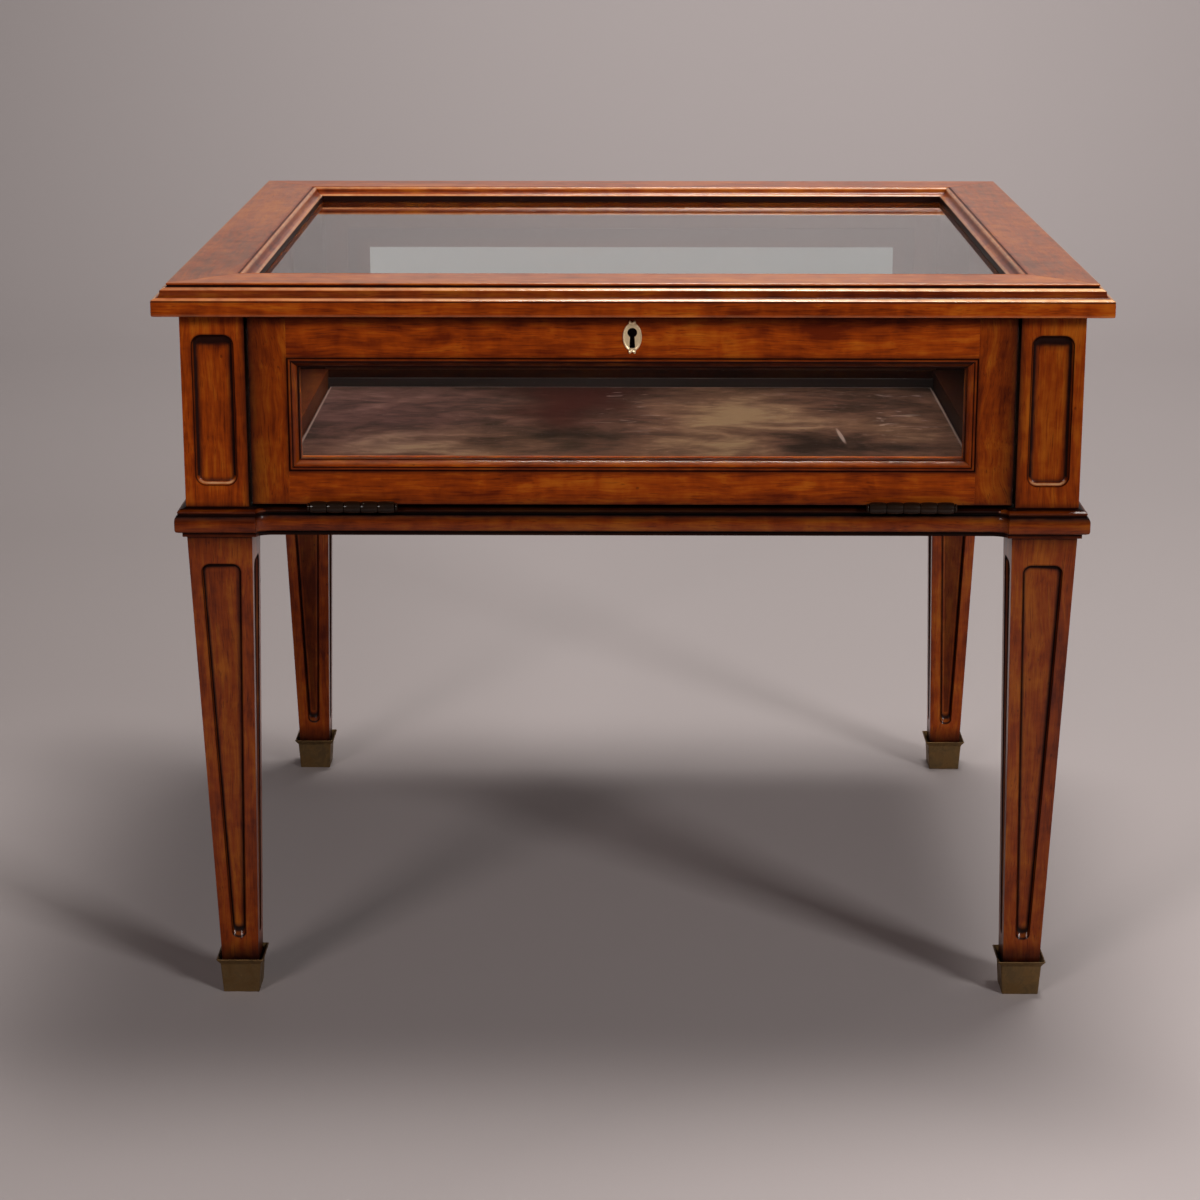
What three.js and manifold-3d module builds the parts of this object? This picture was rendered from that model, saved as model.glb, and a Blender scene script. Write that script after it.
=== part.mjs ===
// Collectors display table
// A glazed case on square tapering legs. The glazed top is fixed, and the glazed front door drops
// forward on two exposed hinges until it hangs below the waist moulding.
// Millimetres, +Z up, front towards -Y, origin on the floor under the middle of the top.

import * as THREE from 'three';
import { mergeVertices } from 'three/addons/utils/BufferGeometryUtils.js';
import Module from 'manifold-3d';

const wasm = await Module();
wasm.setup();

// Overall sizes
const tableWidth = 711;
const tableDepth = 660;
const tableHeight = 571.5;

// Clearances
const fitGap = 0.3; // around a piece let into another
const glueLine = 0.1; // left off each end of a mitred piece
const overrun = 2; // how far a cutter runs past the face it opens
const weld = 0.0001; // points closer than this are one point

// Top frame
const topThick = 24;
const topOverhang = 18; // past the posts
const topRailWidth = 67.5;
const topBandHeight = 11.8; // plain band under the edge moulding
const topBandArris = 1.3;
const edgeReach = 11; // the edge moulding's width in plan
const sightWidth = 10; // the moulding round the glass, in plan
const sightHeight = 9.5;
const glassDrop = 13; // from the top's flat down to the glass
const topGlassThick = 4;
const topRebate = 7.5;
const beadArris = 1.5;

// Case: the space between the top and the waist moulding
const caseHeight = 147.5;

// Waist moulding and bottom
const waistThick = 23;
const waistReach = 8.2; // past the posts, at the corner blocks
const waistSetback = 7.5; // between the blocks
const waistLip = 3; // past the posts' inner faces, inside the case
const blockPastLip = 2;
const blockCurve = 13; // length of the hollow curve at each block's end
const bottomThick = 4.5;
const bottomRebate = 8;

// Posts and their sunk panels
const postSize = 48;
const postPanelSideMargin = 8;
const postPanelEndMargin = 16;
const postPanelCorner = 8;
const postPanelCove = 5.5;
const panelDepth = 4.2;

// Legs
const legTopWidth = 49.5;
const legFootWidth = 28.8; // where the wood enters the sabot
const legOuterTaper = 13.3; // how far the outer faces come in
const legPanelTopGap = 22; // below the waist moulding
const legPanelFootGap = 17; // above the sabot
const legPanelHighMargin = 8.6;
const legPanelLowMargin = 9.6;
const legPanelCorner = 7;
const legPanelCove = 3.2;
const legPanelScoop = 8; // slope at the panel's foot

// Sabots
const sabotHeight = 29;
const sabotFlareHeight = 4.6;
const sabotFlareReach = 3;
const sabotFootWidth = 28;
const sabotWall = 1.2;
const sabotFloor = 2;

// Fixed sides and back
const wallThick = 19;
const wallSetback = 1.5; // behind the posts' outer faces
const wallBorder = 29;
const wallPanelThick = 6;
const wallPanelRebate = 8;

// Door
const doorThick = 20;
const doorSideGap = 2.5;
const doorTopGap = 2.8;
const hingeJoint = 2; // between the door and the waist moulding
const stileWidth = 28.5;
const topRailHeight = 30.5;
const bottomRailHeight = 25.5;
const tenonLength = 18;
const tenonThick = 7;
const tenonShoulder = 5;
const mouldWidth = 8.5;
const mouldDepth = 11; // from the door's face to its glass
const doorGlassThick = 3;
const glassSeat = 6.5; // how far a pane runs under its moulding
const stopThick = 7.5;
const stopHeight = 12;

// Display board
const boardEdgeGap = 2;
const boardThick = 2;
const velvetThick = 0.9;
const boardStopThick = 5;
const boardStopHeight = 11;

// Hinges
const hingeInset = 76; // from the door's end to the hinge's middle
const hingeLength = 63.5;
const hingeRadius = 4.5;
const hingeAxisReach = 5; // in front of the door's face
const pinRadius = 1.8;
const tipRadius = 3.3;
const tipLength = 3;
const leafThick = 1.5;
const leafDepth = 18; // under the door, from its face
const knuckleCount = 5;

// Lock
const lockWidth = 46;
const lockHeight = 25;
const lockThick = 9.5;
const boltWidth = 16;
const boltThick = 5;
const boltHeight = 17;
const boltTravel = 7; // the strike slot is as deep
const talonWidth = 7;
const talonHeight = 5;
const keyRadius = 3.65;
const keyNeck = 3.4;
const keyFoot = 4.6;
const keyDrop = 11.6; // from the round of the keyhole to its foot
const keyBelowTop = 11.2; // from the door's top edge to the round
const keyEase = 0.6; // how much wider the keyhole is in the wood
const escutcheonHalfWidth = 7.4;
const escutcheonHalfHeight = 11.6;
const escutcheonThick = 1;
const escutcheonBevel = 0.5;
const finialRadius = 1.7;
const strikeHalfLength = 20;
const strikeHalfWidth = 7;
const strikeThick = 1.5;
const strikeEase = 0.7; // round the bolt

// Places worked out from the sizes above
const topUnder = tableHeight - topThick;
const caseHalfX = tableWidth / 2 - topOverhang;
const caseHalfY = tableDepth / 2 - topOverhang;
const sightHalfX = tableWidth / 2 - topRailWidth;
const sightHalfY = tableDepth / 2 - topRailWidth;
const waistTop = topUnder - caseHeight;
const waistUnder = waistTop - waistThick;
const postInnerX = caseHalfX - postSize;
const postInnerY = caseHalfY - postSize;
const innerHalfX = postInnerX - waistLip;
const innerHalfY = postInnerY - waistLip;
const doorHalfX = postInnerX - doorSideGap;
const doorTop = topUnder - doorTopGap;
const doorBottom = waistTop + hingeJoint;
const doorFace = -caseHalfY;
const doorBack = doorFace + doorThick;
const openingHalfX = doorHalfX - stileWidth;
const openingTop = doorTop - topRailHeight;
const openingBottom = doorBottom + bottomRailHeight;
const openingMiddle = (openingTop + openingBottom) / 2;
const openingHalfZ = (openingTop - openingBottom) / 2;
const keyHeight = doorTop - keyBelowTop;
const boltY = doorBack - lockThick / 2;
const hingeY = doorFace - hingeAxisReach;
const hingeZ = waistTop + hingeJoint / 2;
const boardBase = waistUnder + bottomThick;

// Outlines as shares of the sizes that they fill: across, then up
const edgeShares = [
  [1, 0], [0.975, 0.075], [0.89, 0.165], [0.75, 0.235], [0.58, 0.28], [0.55, 0.33], [0.45, 0.36],
  [0.36, 0.43], [0.3, 0.53], [0.26, 0.66], [0.22, 0.74], [0.15, 0.8], [0.06, 0.83], [0, 0.84],
  [0, 0.96], [-0.045, 1],
];
const sightShares = [
  [1.04, 1], [1, 0.93], [0.93, 0.91], [0.87, 0.96], [0.77, 0.98], [0.67, 0.93], [0.6, 0.82],
  [0.5, 0.6], [0.37, 0.43], [0.22, 0.34], [0.09, 0.29], [0.02, 0.21], [0, 0.1],
];
const waistShares = [
  [0.37, 0], [0.37, 0.13], [0.75, 0.17], [0.93, 0.2], [1, 0.27], [1, 0.62], [0.94, 0.7],
  [0.8, 0.74], [0.62, 0.75], [0.64, 0.78], [0.7, 0.83], [0.68, 0.89], [0.58, 0.93], [0.4, 0.94],
  [0.16, 0.96], [0, 1],
];
const mouldShares = [
  [1, 0.08], [0.95, 0.16], [0.91, 0.12], [0.86, 0.03], [0.76, 0], [0.62, 0], [0.52, 0.04],
  [0.46, 0.13], [0.43, 0.25], [0.36, 0.42], [0.24, 0.56], [0.1, 0.65], [0, 0.72],
];

// A sunk panel's cove: how far in it has come, how far up its foot's slope, and how deep
const coveShares = [[0, 0, 0], [0.25, 0.55, 0.62], [1, 1, 1]];

// Finishes
function finish(color, roughness, metalness, opacity = 1) {
  return new THREE.MeshStandardMaterial({
    color, roughness, metalness, opacity, transparent: opacity < 1,
  });
}
const wood = finish(0x7a3410, 0.3, 0);
const innerWood = finish(0x4a1f12, 0.5, 0);
const darkWood = finish(0x241009, 0.6, 0);
const glass = finish(0xdfe8e6, 0.05, 0, 0.3);
const velvet = finish(0x6e584b, 0.95, 0);
const boardCore = finish(0x8a6b4a, 0.9, 0);
const agedBrass = finish(0x6b5534, 0.5, 1);
const paleBrass = finish(0xaa966e, 0.4, 1);
const bronze = finish(0x2a1c12, 0.4, 1);
const steel = finish(0x8c8a86, 0.4, 1);

// Plain helpers
function named(name, geometry, material) {
  const piece = new THREE.Mesh(geometry, material);
  piece.name = name;
  return piece;
}

function box([x0, x1], [y0, y1], [z0, z1]) {
  const block = new THREE.BoxGeometry(x1 - x0, y1 - y0, z1 - z0);
  return block.translate((x0 + x1) / 2, (y0 + y1) / 2, (z0 + z1) / 2);
}

function about(middle, half) {
  return [middle - half, middle + half];
}

function solid(geometry) {
  const bare = geometry.clone();
  bare.deleteAttribute('normal');
  bare.deleteAttribute('uv');
  const merged = mergeVertices(bare, weld);
  return new wasm.Manifold(new wasm.Mesh({
    numProp: 3,
    vertProperties: merged.attributes.position.array,
    triVerts: Uint32Array.from(merged.index.array),
  }));
}

function surface(body) {
  const { vertProperties, triVerts } = body.getMesh();
  const geometry = new THREE.BufferGeometry();
  geometry.setAttribute('position', new THREE.BufferAttribute(vertProperties, 3));
  geometry.setIndex(new THREE.BufferAttribute(triVerts, 1));
  return geometry;
}

function carve(geometry, cutters) {
  return surface(cutters.reduce((body, cutter) => body.subtract(solid(cutter)), solid(geometry)));
}

function join(geometries) {
  const [first, ...others] = geometries.map(solid);
  return surface(others.reduce((body, other) => body.add(other), first));
}

function signedArea(points) {
  return points.reduce((sum, [x, y], i) => {
    const [nextX, nextY] = points[(i + 1) % points.length];
    return sum + x * nextY - nextX * y;
  }, 0);
}

// Triangles over one flat ring, turning the same way as the ring does
function capFaces(ring) {
  const areas = [[1, 2], [2, 0], [0, 1]].map((axes) => signedArea(ring.map((p) => axes.map((k) => p[k]))));
  const widest = areas.map(Math.abs).indexOf(Math.max(...areas.map(Math.abs)));
  const axes = [[1, 2], [2, 0], [0, 1]][widest];
  const flat = ring.map((p) => axes.map((k) => p[k]));
  const faces = THREE.ShapeUtils.triangulateShape(flat.map(([x, y]) => new THREE.Vector2(x, y)), []);
  const turn = signedArea(flat) * signedArea(faces[0].map((i) => flat[i]));
  return faces.map((face) => (turn > 0 ? face : [face[0], face[2], face[1]]));
}

function volumeOf(points, faces) {
  return faces.reduce((sum, [a, b, c]) => {
    const [pa, pb, pc] = [a, b, c].map((i) => new THREE.Vector3(...points[i]));
    return sum + pa.dot(pb.cross(pc));
  }, 0);
}

// A skin through rings of points, with flat ends or closed on itself
function loft(rings, closed = false) {
  const count = rings[0].length;
  const points = rings.flat();
  const faces = [];
  const spans = closed ? rings.length : rings.length - 1;
  for (let i = 0; i < spans; i += 1) {
    const next = ((i + 1) % rings.length) * count;
    for (let j = 0; j < count; j += 1) {
      const k = (j + 1) % count;
      faces.push([i * count + j, i * count + k, next + k], [i * count + j, next + k, next + j]);
    }
  }
  if (!closed) {
    const last = (rings.length - 1) * count;
    capFaces(rings[0]).forEach(([a, b, c]) => faces.push([a, c, b]));
    capFaces(rings.at(-1)).forEach(([a, b, c]) => faces.push([last + a, last + b, last + c]));
  }
  const outward = volumeOf(points, faces) > 0;
  const geometry = new THREE.BufferGeometry();
  geometry.setAttribute('position', new THREE.Float32BufferAttribute(points.flat(), 3));
  geometry.setIndex(faces.flatMap(([a, b, c]) => (outward ? [a, b, c] : [a, c, b])));
  return geometry;
}

// Shares of a width and a height, set out from one corner
function spread(shares, across, up, startAcross = 0, startUp = 0) {
  return shares.map(([a, u]) => [startAcross + a * across, startUp + u * up]);
}

// A length of moulding along X with both ends mitred. Its section is [outward, up].
function mitredBar(section, halfLength) {
  const rings = [-1, 1].map((side) => section.map(([out, up]) => [
    side * (halfLength + out - glueLine), out, up,
  ]));
  return loft(rings);
}

// Four pieces round an opening, named in the order +Y, -Y, -X, +X
function fourSides(names, halfX, halfY, material, shapeOf) {
  const group = new THREE.Group();
  const places = [
    [0, halfX, 0, halfY],
    [Math.PI, halfX, 0, -halfY],
    [Math.PI / 2, halfY, -halfX, 0],
    [-Math.PI / 2, halfY, halfX, 0],
  ];
  names.forEach((name, i) => {
    const [turn, halfLength, x, y] = places[i];
    const piece = named(name, shapeOf(halfLength, name), material);
    piece.rotation.z = turn;
    piece.position.set(x, y, 0);
    group.add(piece);
  });
  return group;
}

// A frame in one piece: the section [outward, up] taken round a rectangle
function ringFrame(section, halfX, halfY) {
  const corners = [[1, 1], [-1, 1], [-1, -1], [1, -1]];
  const rings = corners.map(([sx, sy]) => section.map(([out, up]) => [
    sx * (halfX + out), sy * (halfY + out), up,
  ]));
  return loft(rings, true);
}

// A wall's own frame: X along it, Y up, Z out of its face. Turn 0 is the front.
function facing(turn, distance, height) {
  const wall = new THREE.Group();
  wall.rotation.x = Math.PI / 2;
  wall.position.set(0, -distance, height);
  const turned = new THREE.Group();
  turned.rotation.z = turn;
  turned.add(wall);
  return { turned, wall };
}

// Pieces at one corner of the case. Their own X and Y run inwards from the corner.
function atCorner(name, geometry, material) {
  const corners = {
    front_left: [0, -caseHalfX, -caseHalfY],
    front_right: [Math.PI / 2, caseHalfX, -caseHalfY],
    back_right: [Math.PI, caseHalfX, caseHalfY],
    back_left: [-Math.PI / 2, -caseHalfX, caseHalfY],
  };
  return Object.entries(corners).map(([corner, [turn, x, y]]) => {
    const piece = named(`${name}_${corner}`, geometry, material);
    piece.rotation.z = turn;
    piece.position.set(x, y, 0);
    return piece;
  });
}

// Top frame, glass and beads
const lipUnder = topThick - glassDrop + fitGap;
const sightFoot = topThick - sightHeight;
const topSection = [
  [topRebate, 0],
  [topRailWidth - topBandArris, 0],
  [topRailWidth, topBandArris],
  ...spread(edgeShares, edgeReach, topThick - topBandHeight, topRailWidth - edgeReach, topBandHeight),
  ...spread(sightShares, sightWidth, sightHeight, 0, sightFoot),
  [0, lipUnder],
  [topRebate, lipUnder],
];

function strikeCuts() {
  const middle = -boltY - sightHalfY;
  const slot = box(
    about(0, boltWidth / 2 + strikeEase),
    about(middle, boltThick / 2 + strikeEase),
    [-overrun, boltTravel],
  );
  const recess = box(
    about(0, strikeHalfLength + fitGap),
    about(middle, strikeHalfWidth + fitGap),
    [-overrun, strikeThick + fitGap],
  );
  return [slot, recess];
}

function topFrame() {
  const names = ['top_rail_back', 'top_rail_front', 'top_rail_left', 'top_rail_right'];
  const rails = fourSides(names, sightHalfX, sightHalfY, wood, (halfLength, name) => {
    const bar = mitredBar(topSection, halfLength);
    return name === 'top_rail_front' ? carve(bar, strikeCuts()) : bar;
  });
  rails.position.z = topUnder;
  return rails;
}

function topGlazing() {
  const glassTop = topUnder + topThick - glassDrop;
  const pane = named('top_glass', box(
    about(0, sightHalfX + glassSeat),
    about(0, sightHalfY + glassSeat),
    [glassTop - topGlassThick, glassTop],
  ), glass);
  const beadHeight = topThick - glassDrop - topGlassThick - fitGap;
  const beadWidth = topRebate - fitGap;
  const beadSection = [
    [beadArris, 0], [beadWidth, 0], [beadWidth, beadHeight], [0, beadHeight], [0, beadArris],
  ];
  const names = ['top_bead_back', 'top_bead_front', 'top_bead_left', 'top_bead_right'];
  const beads = fourSides(names, sightHalfX, sightHalfY, wood, (half) => mitredBar(beadSection, half));
  beads.position.z = topUnder;
  return [pane, beads];
}

function strikePlate() {
  const plate = box(
    about(0, strikeHalfLength),
    about(boltY, strikeHalfWidth),
    [topUnder, topUnder + strikeThick],
  );
  const slot = box(
    about(0, boltWidth / 2 + strikeEase),
    about(boltY, boltThick / 2 + strikeEase),
    [topUnder - overrun, topUnder + strikeThick + overrun],
  );
  return named('strike_plate', carve(plate, [slot]), paleBrass);
}

// Waist moulding: breaks forward as a block under each post, then a hollow curve back
const waistFace = postSize + waistLip;
const curveSteps = 6;

function waistSection(setback) {
  const moulding = spread(waistShares, waistReach, waistThick, waistFace - setback, 0);
  return [
    [bottomRebate, 0],
    ...moulding,
    [0, waistThick],
    [0, bottomThick + fitGap],
    [bottomRebate, bottomThick + fitGap],
  ];
}

function waistBar(halfLength) {
  const blockEnd = halfLength - blockPastLip;
  const stations = [[blockEnd, 0]];
  for (let i = 1; i <= curveSteps; i += 1) {
    const turn = (i / curveSteps) * (Math.PI / 2);
    stations.push([blockEnd - blockCurve * (1 - Math.cos(turn)), waistSetback * Math.sin(turn)]);
  }
  const ringAt = (x, setback) => waistSection(setback).map(([out, up]) => [x, out, up]);
  const endRing = (side) => waistSection(0).map(([out, up]) => [
    side * (halfLength + out - glueLine), out, up,
  ]);
  return loft([
    endRing(-1),
    ...stations.map(([x, setback]) => ringAt(-x, setback)),
    ...stations.toReversed().map(([x, setback]) => ringAt(x, setback)),
    endRing(1),
  ]);
}

function hingeX(side) {
  return side * (doorHalfX - hingeInset);
}

function waistFrame() {
  const names = ['waist_rail_back', 'waist_rail_front', 'waist_rail_left', 'waist_rail_right'];
  const leafBack = -hingeY - hingeAxisReach - leafDepth - innerHalfY;
  const rails = fourSides(names, innerHalfX, innerHalfY, wood, (halfLength, name) => {
    const bar = waistBar(halfLength);
    if (name !== 'waist_rail_front') {
      return bar;
    }
    return carve(bar, [-1, 1].map((side) => box(
      about(hingeX(side), hingeLength / 2 + fitGap),
      [leafBack - fitGap, waistFace + waistReach + overrun],
      [waistThick - leafThick - fitGap, waistThick + overrun],
    )));
  });
  rails.position.z = waistUnder;
  return rails;
}

// Sunk panels: a round-cornered outline that coves in to a smaller field
function panelOutline(shape, inset, scoop) {
  const steps = 4;
  const corners = [
    [1, shape.low + scoop, shape.lowHalf, shape.lowCorner, -1],
    [1, shape.high, shape.highHalf, shape.highCorner, 1],
    [-1, shape.high, shape.highHalf, shape.highCorner, 1],
    [-1, shape.low + scoop, shape.lowHalf, shape.lowCorner, -1],
  ];
  return corners.flatMap(([side, end, half, corner, up], i) => {
    const points = [];
    for (let k = 0; k <= steps; k += 1) {
      const turn = ((i - 1 + k / steps) * Math.PI) / 2;
      const across = side * (half - corner) + (corner - inset) * Math.cos(turn);
      const rise = end - up * corner + (corner - inset) * Math.sin(turn);
      points.push([across, rise]);
    }
    return points;
  });
}

// The cutter for one panel. toPoint sets a point of its outline, at a depth, into the piece.
function panelCutter(shape, cove, scoop, toPoint) {
  const ringAt = (insetShare, scoopShare, depth) => panelOutline(shape, cove * insetShare, scoop * scoopShare)
    .map(([across, rise]) => toPoint(across, rise, depth));
  return loft([
    ringAt(0, 0, -overrun),
    ...coveShares.map(([inset, slope, depth]) => ringAt(inset, slope, depth * panelDepth)),
  ]);
}

function post() {
  const block = box([0, postSize], [0, postSize], [waistTop, topUnder]);
  const half = postSize / 2 - postPanelSideMargin;
  const shape = {
    low: waistTop + postPanelEndMargin,
    high: topUnder - postPanelEndMargin,
    lowHalf: half,
    highHalf: half,
    lowCorner: postPanelCorner,
    highCorner: postPanelCorner,
  };
  const middle = postSize / 2;
  return carve(block, [
    panelCutter(shape, postPanelCove, 0, (across, rise, depth) => [middle + across, depth, rise]),
    panelCutter(shape, postPanelCove, 0, (across, rise, depth) => [depth, middle + across, rise]),
  ]);
}

// Legs: square, with the outer faces tapering more than the inner ones
function legFaces(z) {
  const share = (waistUnder - z) / (waistUnder - sabotHeight);
  const innerTaper = legTopWidth - legOuterTaper - legFootWidth;
  return [legOuterTaper * share, legTopWidth - innerTaper * share];
}

const footMiddle = legOuterTaper + legFootWidth / 2;

function squareRing([low, high], z) {
  return [[low, low, z], [high, low, z], [high, high, z], [low, high, z]];
}

function leg() {
  const lipLevel = sabotHeight - sabotFlareHeight;
  const spigotHalf = sabotFootWidth / 2 - sabotWall - fitGap;
  const body = loft([
    squareRing(legFaces(waistUnder), waistUnder),
    squareRing(legFaces(sabotHeight), sabotHeight),
    squareRing(legFaces(sabotHeight), lipLevel),
    squareRing(about(footMiddle, spigotHalf), sabotFloor + fitGap),
  ]);
  const halfAt = (z) => (legFaces(z)[1] - legFaces(z)[0]) / 2;
  const middleAt = (z) => (legFaces(z)[1] + legFaces(z)[0]) / 2;
  const low = sabotHeight + legPanelFootGap;
  const high = waistUnder - legPanelTopGap;
  const lowHalf = halfAt(low) - legPanelLowMargin;
  const shape = {
    low,
    high,
    lowHalf,
    highHalf: halfAt(high) - legPanelHighMargin,
    lowCorner: lowHalf,
    highCorner: legPanelCorner,
  };
  const cutters = [];
  [0, 1].forEach((inner) => {
    const inward = inner ? -1 : 1;
    const faceAt = (z, depth) => legFaces(z)[inner] + inward * depth;
    cutters.push(
      panelCutter(shape, legPanelCove, legPanelScoop, (across, z, depth) => [
        middleAt(z) + across, faceAt(z, depth), z,
      ]),
      panelCutter(shape, legPanelCove, legPanelScoop, (across, z, depth) => [
        faceAt(z, depth), middleAt(z) + across, z,
      ]),
    );
  });
  return carve(body, cutters);
}

// Sabots: square brass cups with a flared lip
function sabot() {
  const lipLevel = sabotHeight - sabotFlareHeight;
  const bodyHalf = legFootWidth / 2 + fitGap + sabotWall;
  const footHalf = sabotFootWidth / 2;
  const profile = [
    [0, 0],
    [footHalf, 0],
    [bodyHalf, lipLevel],
    [bodyHalf + sabotFlareReach, sabotHeight],
    [bodyHalf + sabotFlareReach - sabotWall, sabotHeight],
    [bodyHalf - sabotWall, lipLevel],
    [footHalf - sabotWall, sabotFloor],
    [0, sabotFloor],
  ].map(([half, z]) => new THREE.Vector2(half * Math.SQRT2, z));
  const cup = new THREE.LatheGeometry(profile, 4, Math.PI / 4);
  return cup.rotateX(Math.PI / 2).translate(footMiddle, footMiddle, 0);
}

// Fixed walls: a moulded frame with a flat panel let in from behind
function wall(name, turn, distance, halfLength) {
  const { turned, wall: group } = facing(turn, distance, (waistTop + topUnder) / 2);
  const sightX = halfLength - wallBorder;
  const sightZ = (topUnder - waistTop) / 2 - wallBorder;
  const panelFace = wallThick - wallPanelThick;
  const border = wallBorder - fitGap;
  const section = [
    [border, 0],
    ...spread(mouldShares, mouldWidth, -mouldDepth),
    [0, fitGap - panelFace],
    [wallPanelRebate, fitGap - panelFace],
    [wallPanelRebate, -wallThick],
    [border, -wallThick],
  ];
  group.add(named(`${name}_frame`, ringFrame(section, sightX, sightZ), wood));
  group.add(named(`${name}_panel`, box(
    about(0, sightX + wallPanelRebate - fitGap),
    about(0, sightZ + wallPanelRebate - fitGap),
    [-wallThick, -panelFace],
  ), wood));
  return turned;
}

// Bottom, display board and its stop
function bottom() {
  const boardHalfX = innerHalfX - boardEdgeGap;
  const front = -innerHalfY + boardEdgeGap;
  const back = innerHalfY - boardStopThick - fitGap;
  const skin = velvetThick + fitGap;
  const boardTop = boardBase + boardThick;
  const cover = box(about(0, boardHalfX), [front, back], [boardBase, boardTop + skin]);
  const hollow = box(
    about(0, boardHalfX - velvetThick),
    [front + velvetThick, back - velvetThick],
    [boardBase - overrun, boardTop + fitGap],
  );
  return [
    named('bottom_board', box(
      about(0, innerHalfX + bottomRebate - fitGap),
      about(0, innerHalfY + bottomRebate - fitGap),
      [waistUnder, boardBase],
    ), innerWood),
    named('display_board', box(
      about(0, boardHalfX - skin),
      [front + skin, back - skin],
      [boardBase, boardTop],
    ), boardCore),
    named('velvet_cover', carve(cover, [hollow]), velvet),
    named('board_stop', box(
      about(0, innerHalfX - fitGap),
      [innerHalfY - boardStopThick, innerHalfY],
      [boardBase, boardBase + boardStopHeight],
    ), darkWood),
    named('door_stop', box(
      about(0, postInnerX - fitGap),
      [doorBack + fitGap, doorBack + fitGap + stopThick],
      [topUnder - stopHeight, topUnder],
    ), innerWood),
  ];
}

// Keyhole outline: a round with a widening foot below it, grown by ease
function keyholeOutline(ease) {
  const steps = 14;
  const radius = keyRadius + ease;
  const meet = Math.asin((keyNeck / 2 + ease) / radius);
  const foot = keyFoot / 2 + ease;
  const points = [];
  for (let i = 0; i <= steps; i += 1) {
    const turn = meet - Math.PI / 2 + (i / steps) * 2 * (Math.PI - meet);
    points.push([radius * Math.cos(turn), radius * Math.sin(turn)]);
  }
  return [...points, [-foot, -keyDrop - ease], [foot, -keyDrop - ease]];
}

function keyholeCutter(ease, front, back) {
  return loft([front, back].map((y) => keyholeOutline(ease).map(([x, up]) => [x, y, keyHeight + up])));
}

// Door frame
function doorFrame() {
  const tenonReach = openingHalfX + tenonLength;
  const tenonY = about((doorFace + doorBack) / 2, tenonThick / 2);
  const grown = ([low, high]) => [low - fitGap, high + fitGap];
  const withTenon = ([low, high]) => ({
    span: [low, high],
    tenon: [low + tenonShoulder, high - tenonShoulder],
  });
  const rails = {
    top: withTenon([openingTop, doorTop]),
    bottom: withTenon([doorBottom, openingBottom]),
  };
  const stile = (side) => {
    const ends = [openingHalfX, doorHalfX].map((x) => side * x).sort((a, b) => a - b);
    const mortise = [openingHalfX - overrun, tenonReach + fitGap].map((x) => side * x).sort((a, b) => a - b);
    return carve(box(ends, [doorFace, doorBack], [doorBottom, doorTop]), [
      box(mortise, grown(tenonY), grown(rails.top.tenon)),
      box(mortise, grown(tenonY), grown(rails.bottom.tenon)),
    ]);
  };
  const rail = ({ span, tenon }) => join([
    box(about(0, openingHalfX), [doorFace, doorBack], span),
    box(about(0, tenonReach), tenonY, tenon),
  ]);
  const lockCut = box(
    about(0, lockWidth / 2 + fitGap),
    [doorBack - lockThick - fitGap, doorBack + overrun],
    [doorTop - lockHeight - fitGap, doorTop + overrun],
  );
  const leafCuts = [-1, 1].map((side) => box(
    about(hingeX(side), hingeLength / 2 + fitGap),
    [doorFace - overrun, doorFace + leafDepth + fitGap],
    [doorBottom - overrun, doorBottom + leafThick + fitGap],
  ));
  return [
    named('door_stile_left', stile(-1), wood),
    named('door_stile_right', stile(1), wood),
    named('door_rail_top', carve(rail(rails.top), [
      lockCut, keyholeCutter(keyEase, doorFace - overrun, doorBack - lockThick),
    ]), wood),
    named('door_rail_bottom', carve(rail(rails.bottom), leafCuts), wood),
  ];
}

// Door moulding, glass and beads
function doorGlazing() {
  const { turned, wall: group } = facing(0, caseHalfY, openingMiddle);
  const sightX = openingHalfX - mouldWidth;
  const sightZ = openingHalfZ - mouldWidth;
  const mouldSection = [
    ...spread(mouldShares, mouldWidth - glueLine, -mouldDepth),
    [0, fitGap - mouldDepth],
    [mouldWidth - glueLine, fitGap - mouldDepth],
  ];
  const beadFace = -mouldDepth - doorGlassThick - fitGap;
  const beadWidth = mouldWidth - glueLine;
  const beadSection = [
    [0, beadFace], [0, beadArris - doorThick], [beadArris, -doorThick], [beadWidth, -doorThick],
    [beadWidth, beadFace],
  ];
  const sides = ['top', 'bottom', 'left', 'right'];
  group.add(fourSides(
    sides.map((side) => `door_moulding_${side}`),
    sightX,
    sightZ,
    wood,
    (half) => mitredBar(mouldSection, half),
  ));
  group.add(fourSides(
    sides.map((side) => `door_bead_${side}`),
    sightX,
    sightZ,
    wood,
    (half) => mitredBar(beadSection, half),
  ));
  group.add(named('door_glass', box(
    about(0, sightX + glassSeat),
    about(0, sightZ + glassSeat),
    [-mouldDepth - doorGlassThick, -mouldDepth],
  ), glass));
  return turned;
}

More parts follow.
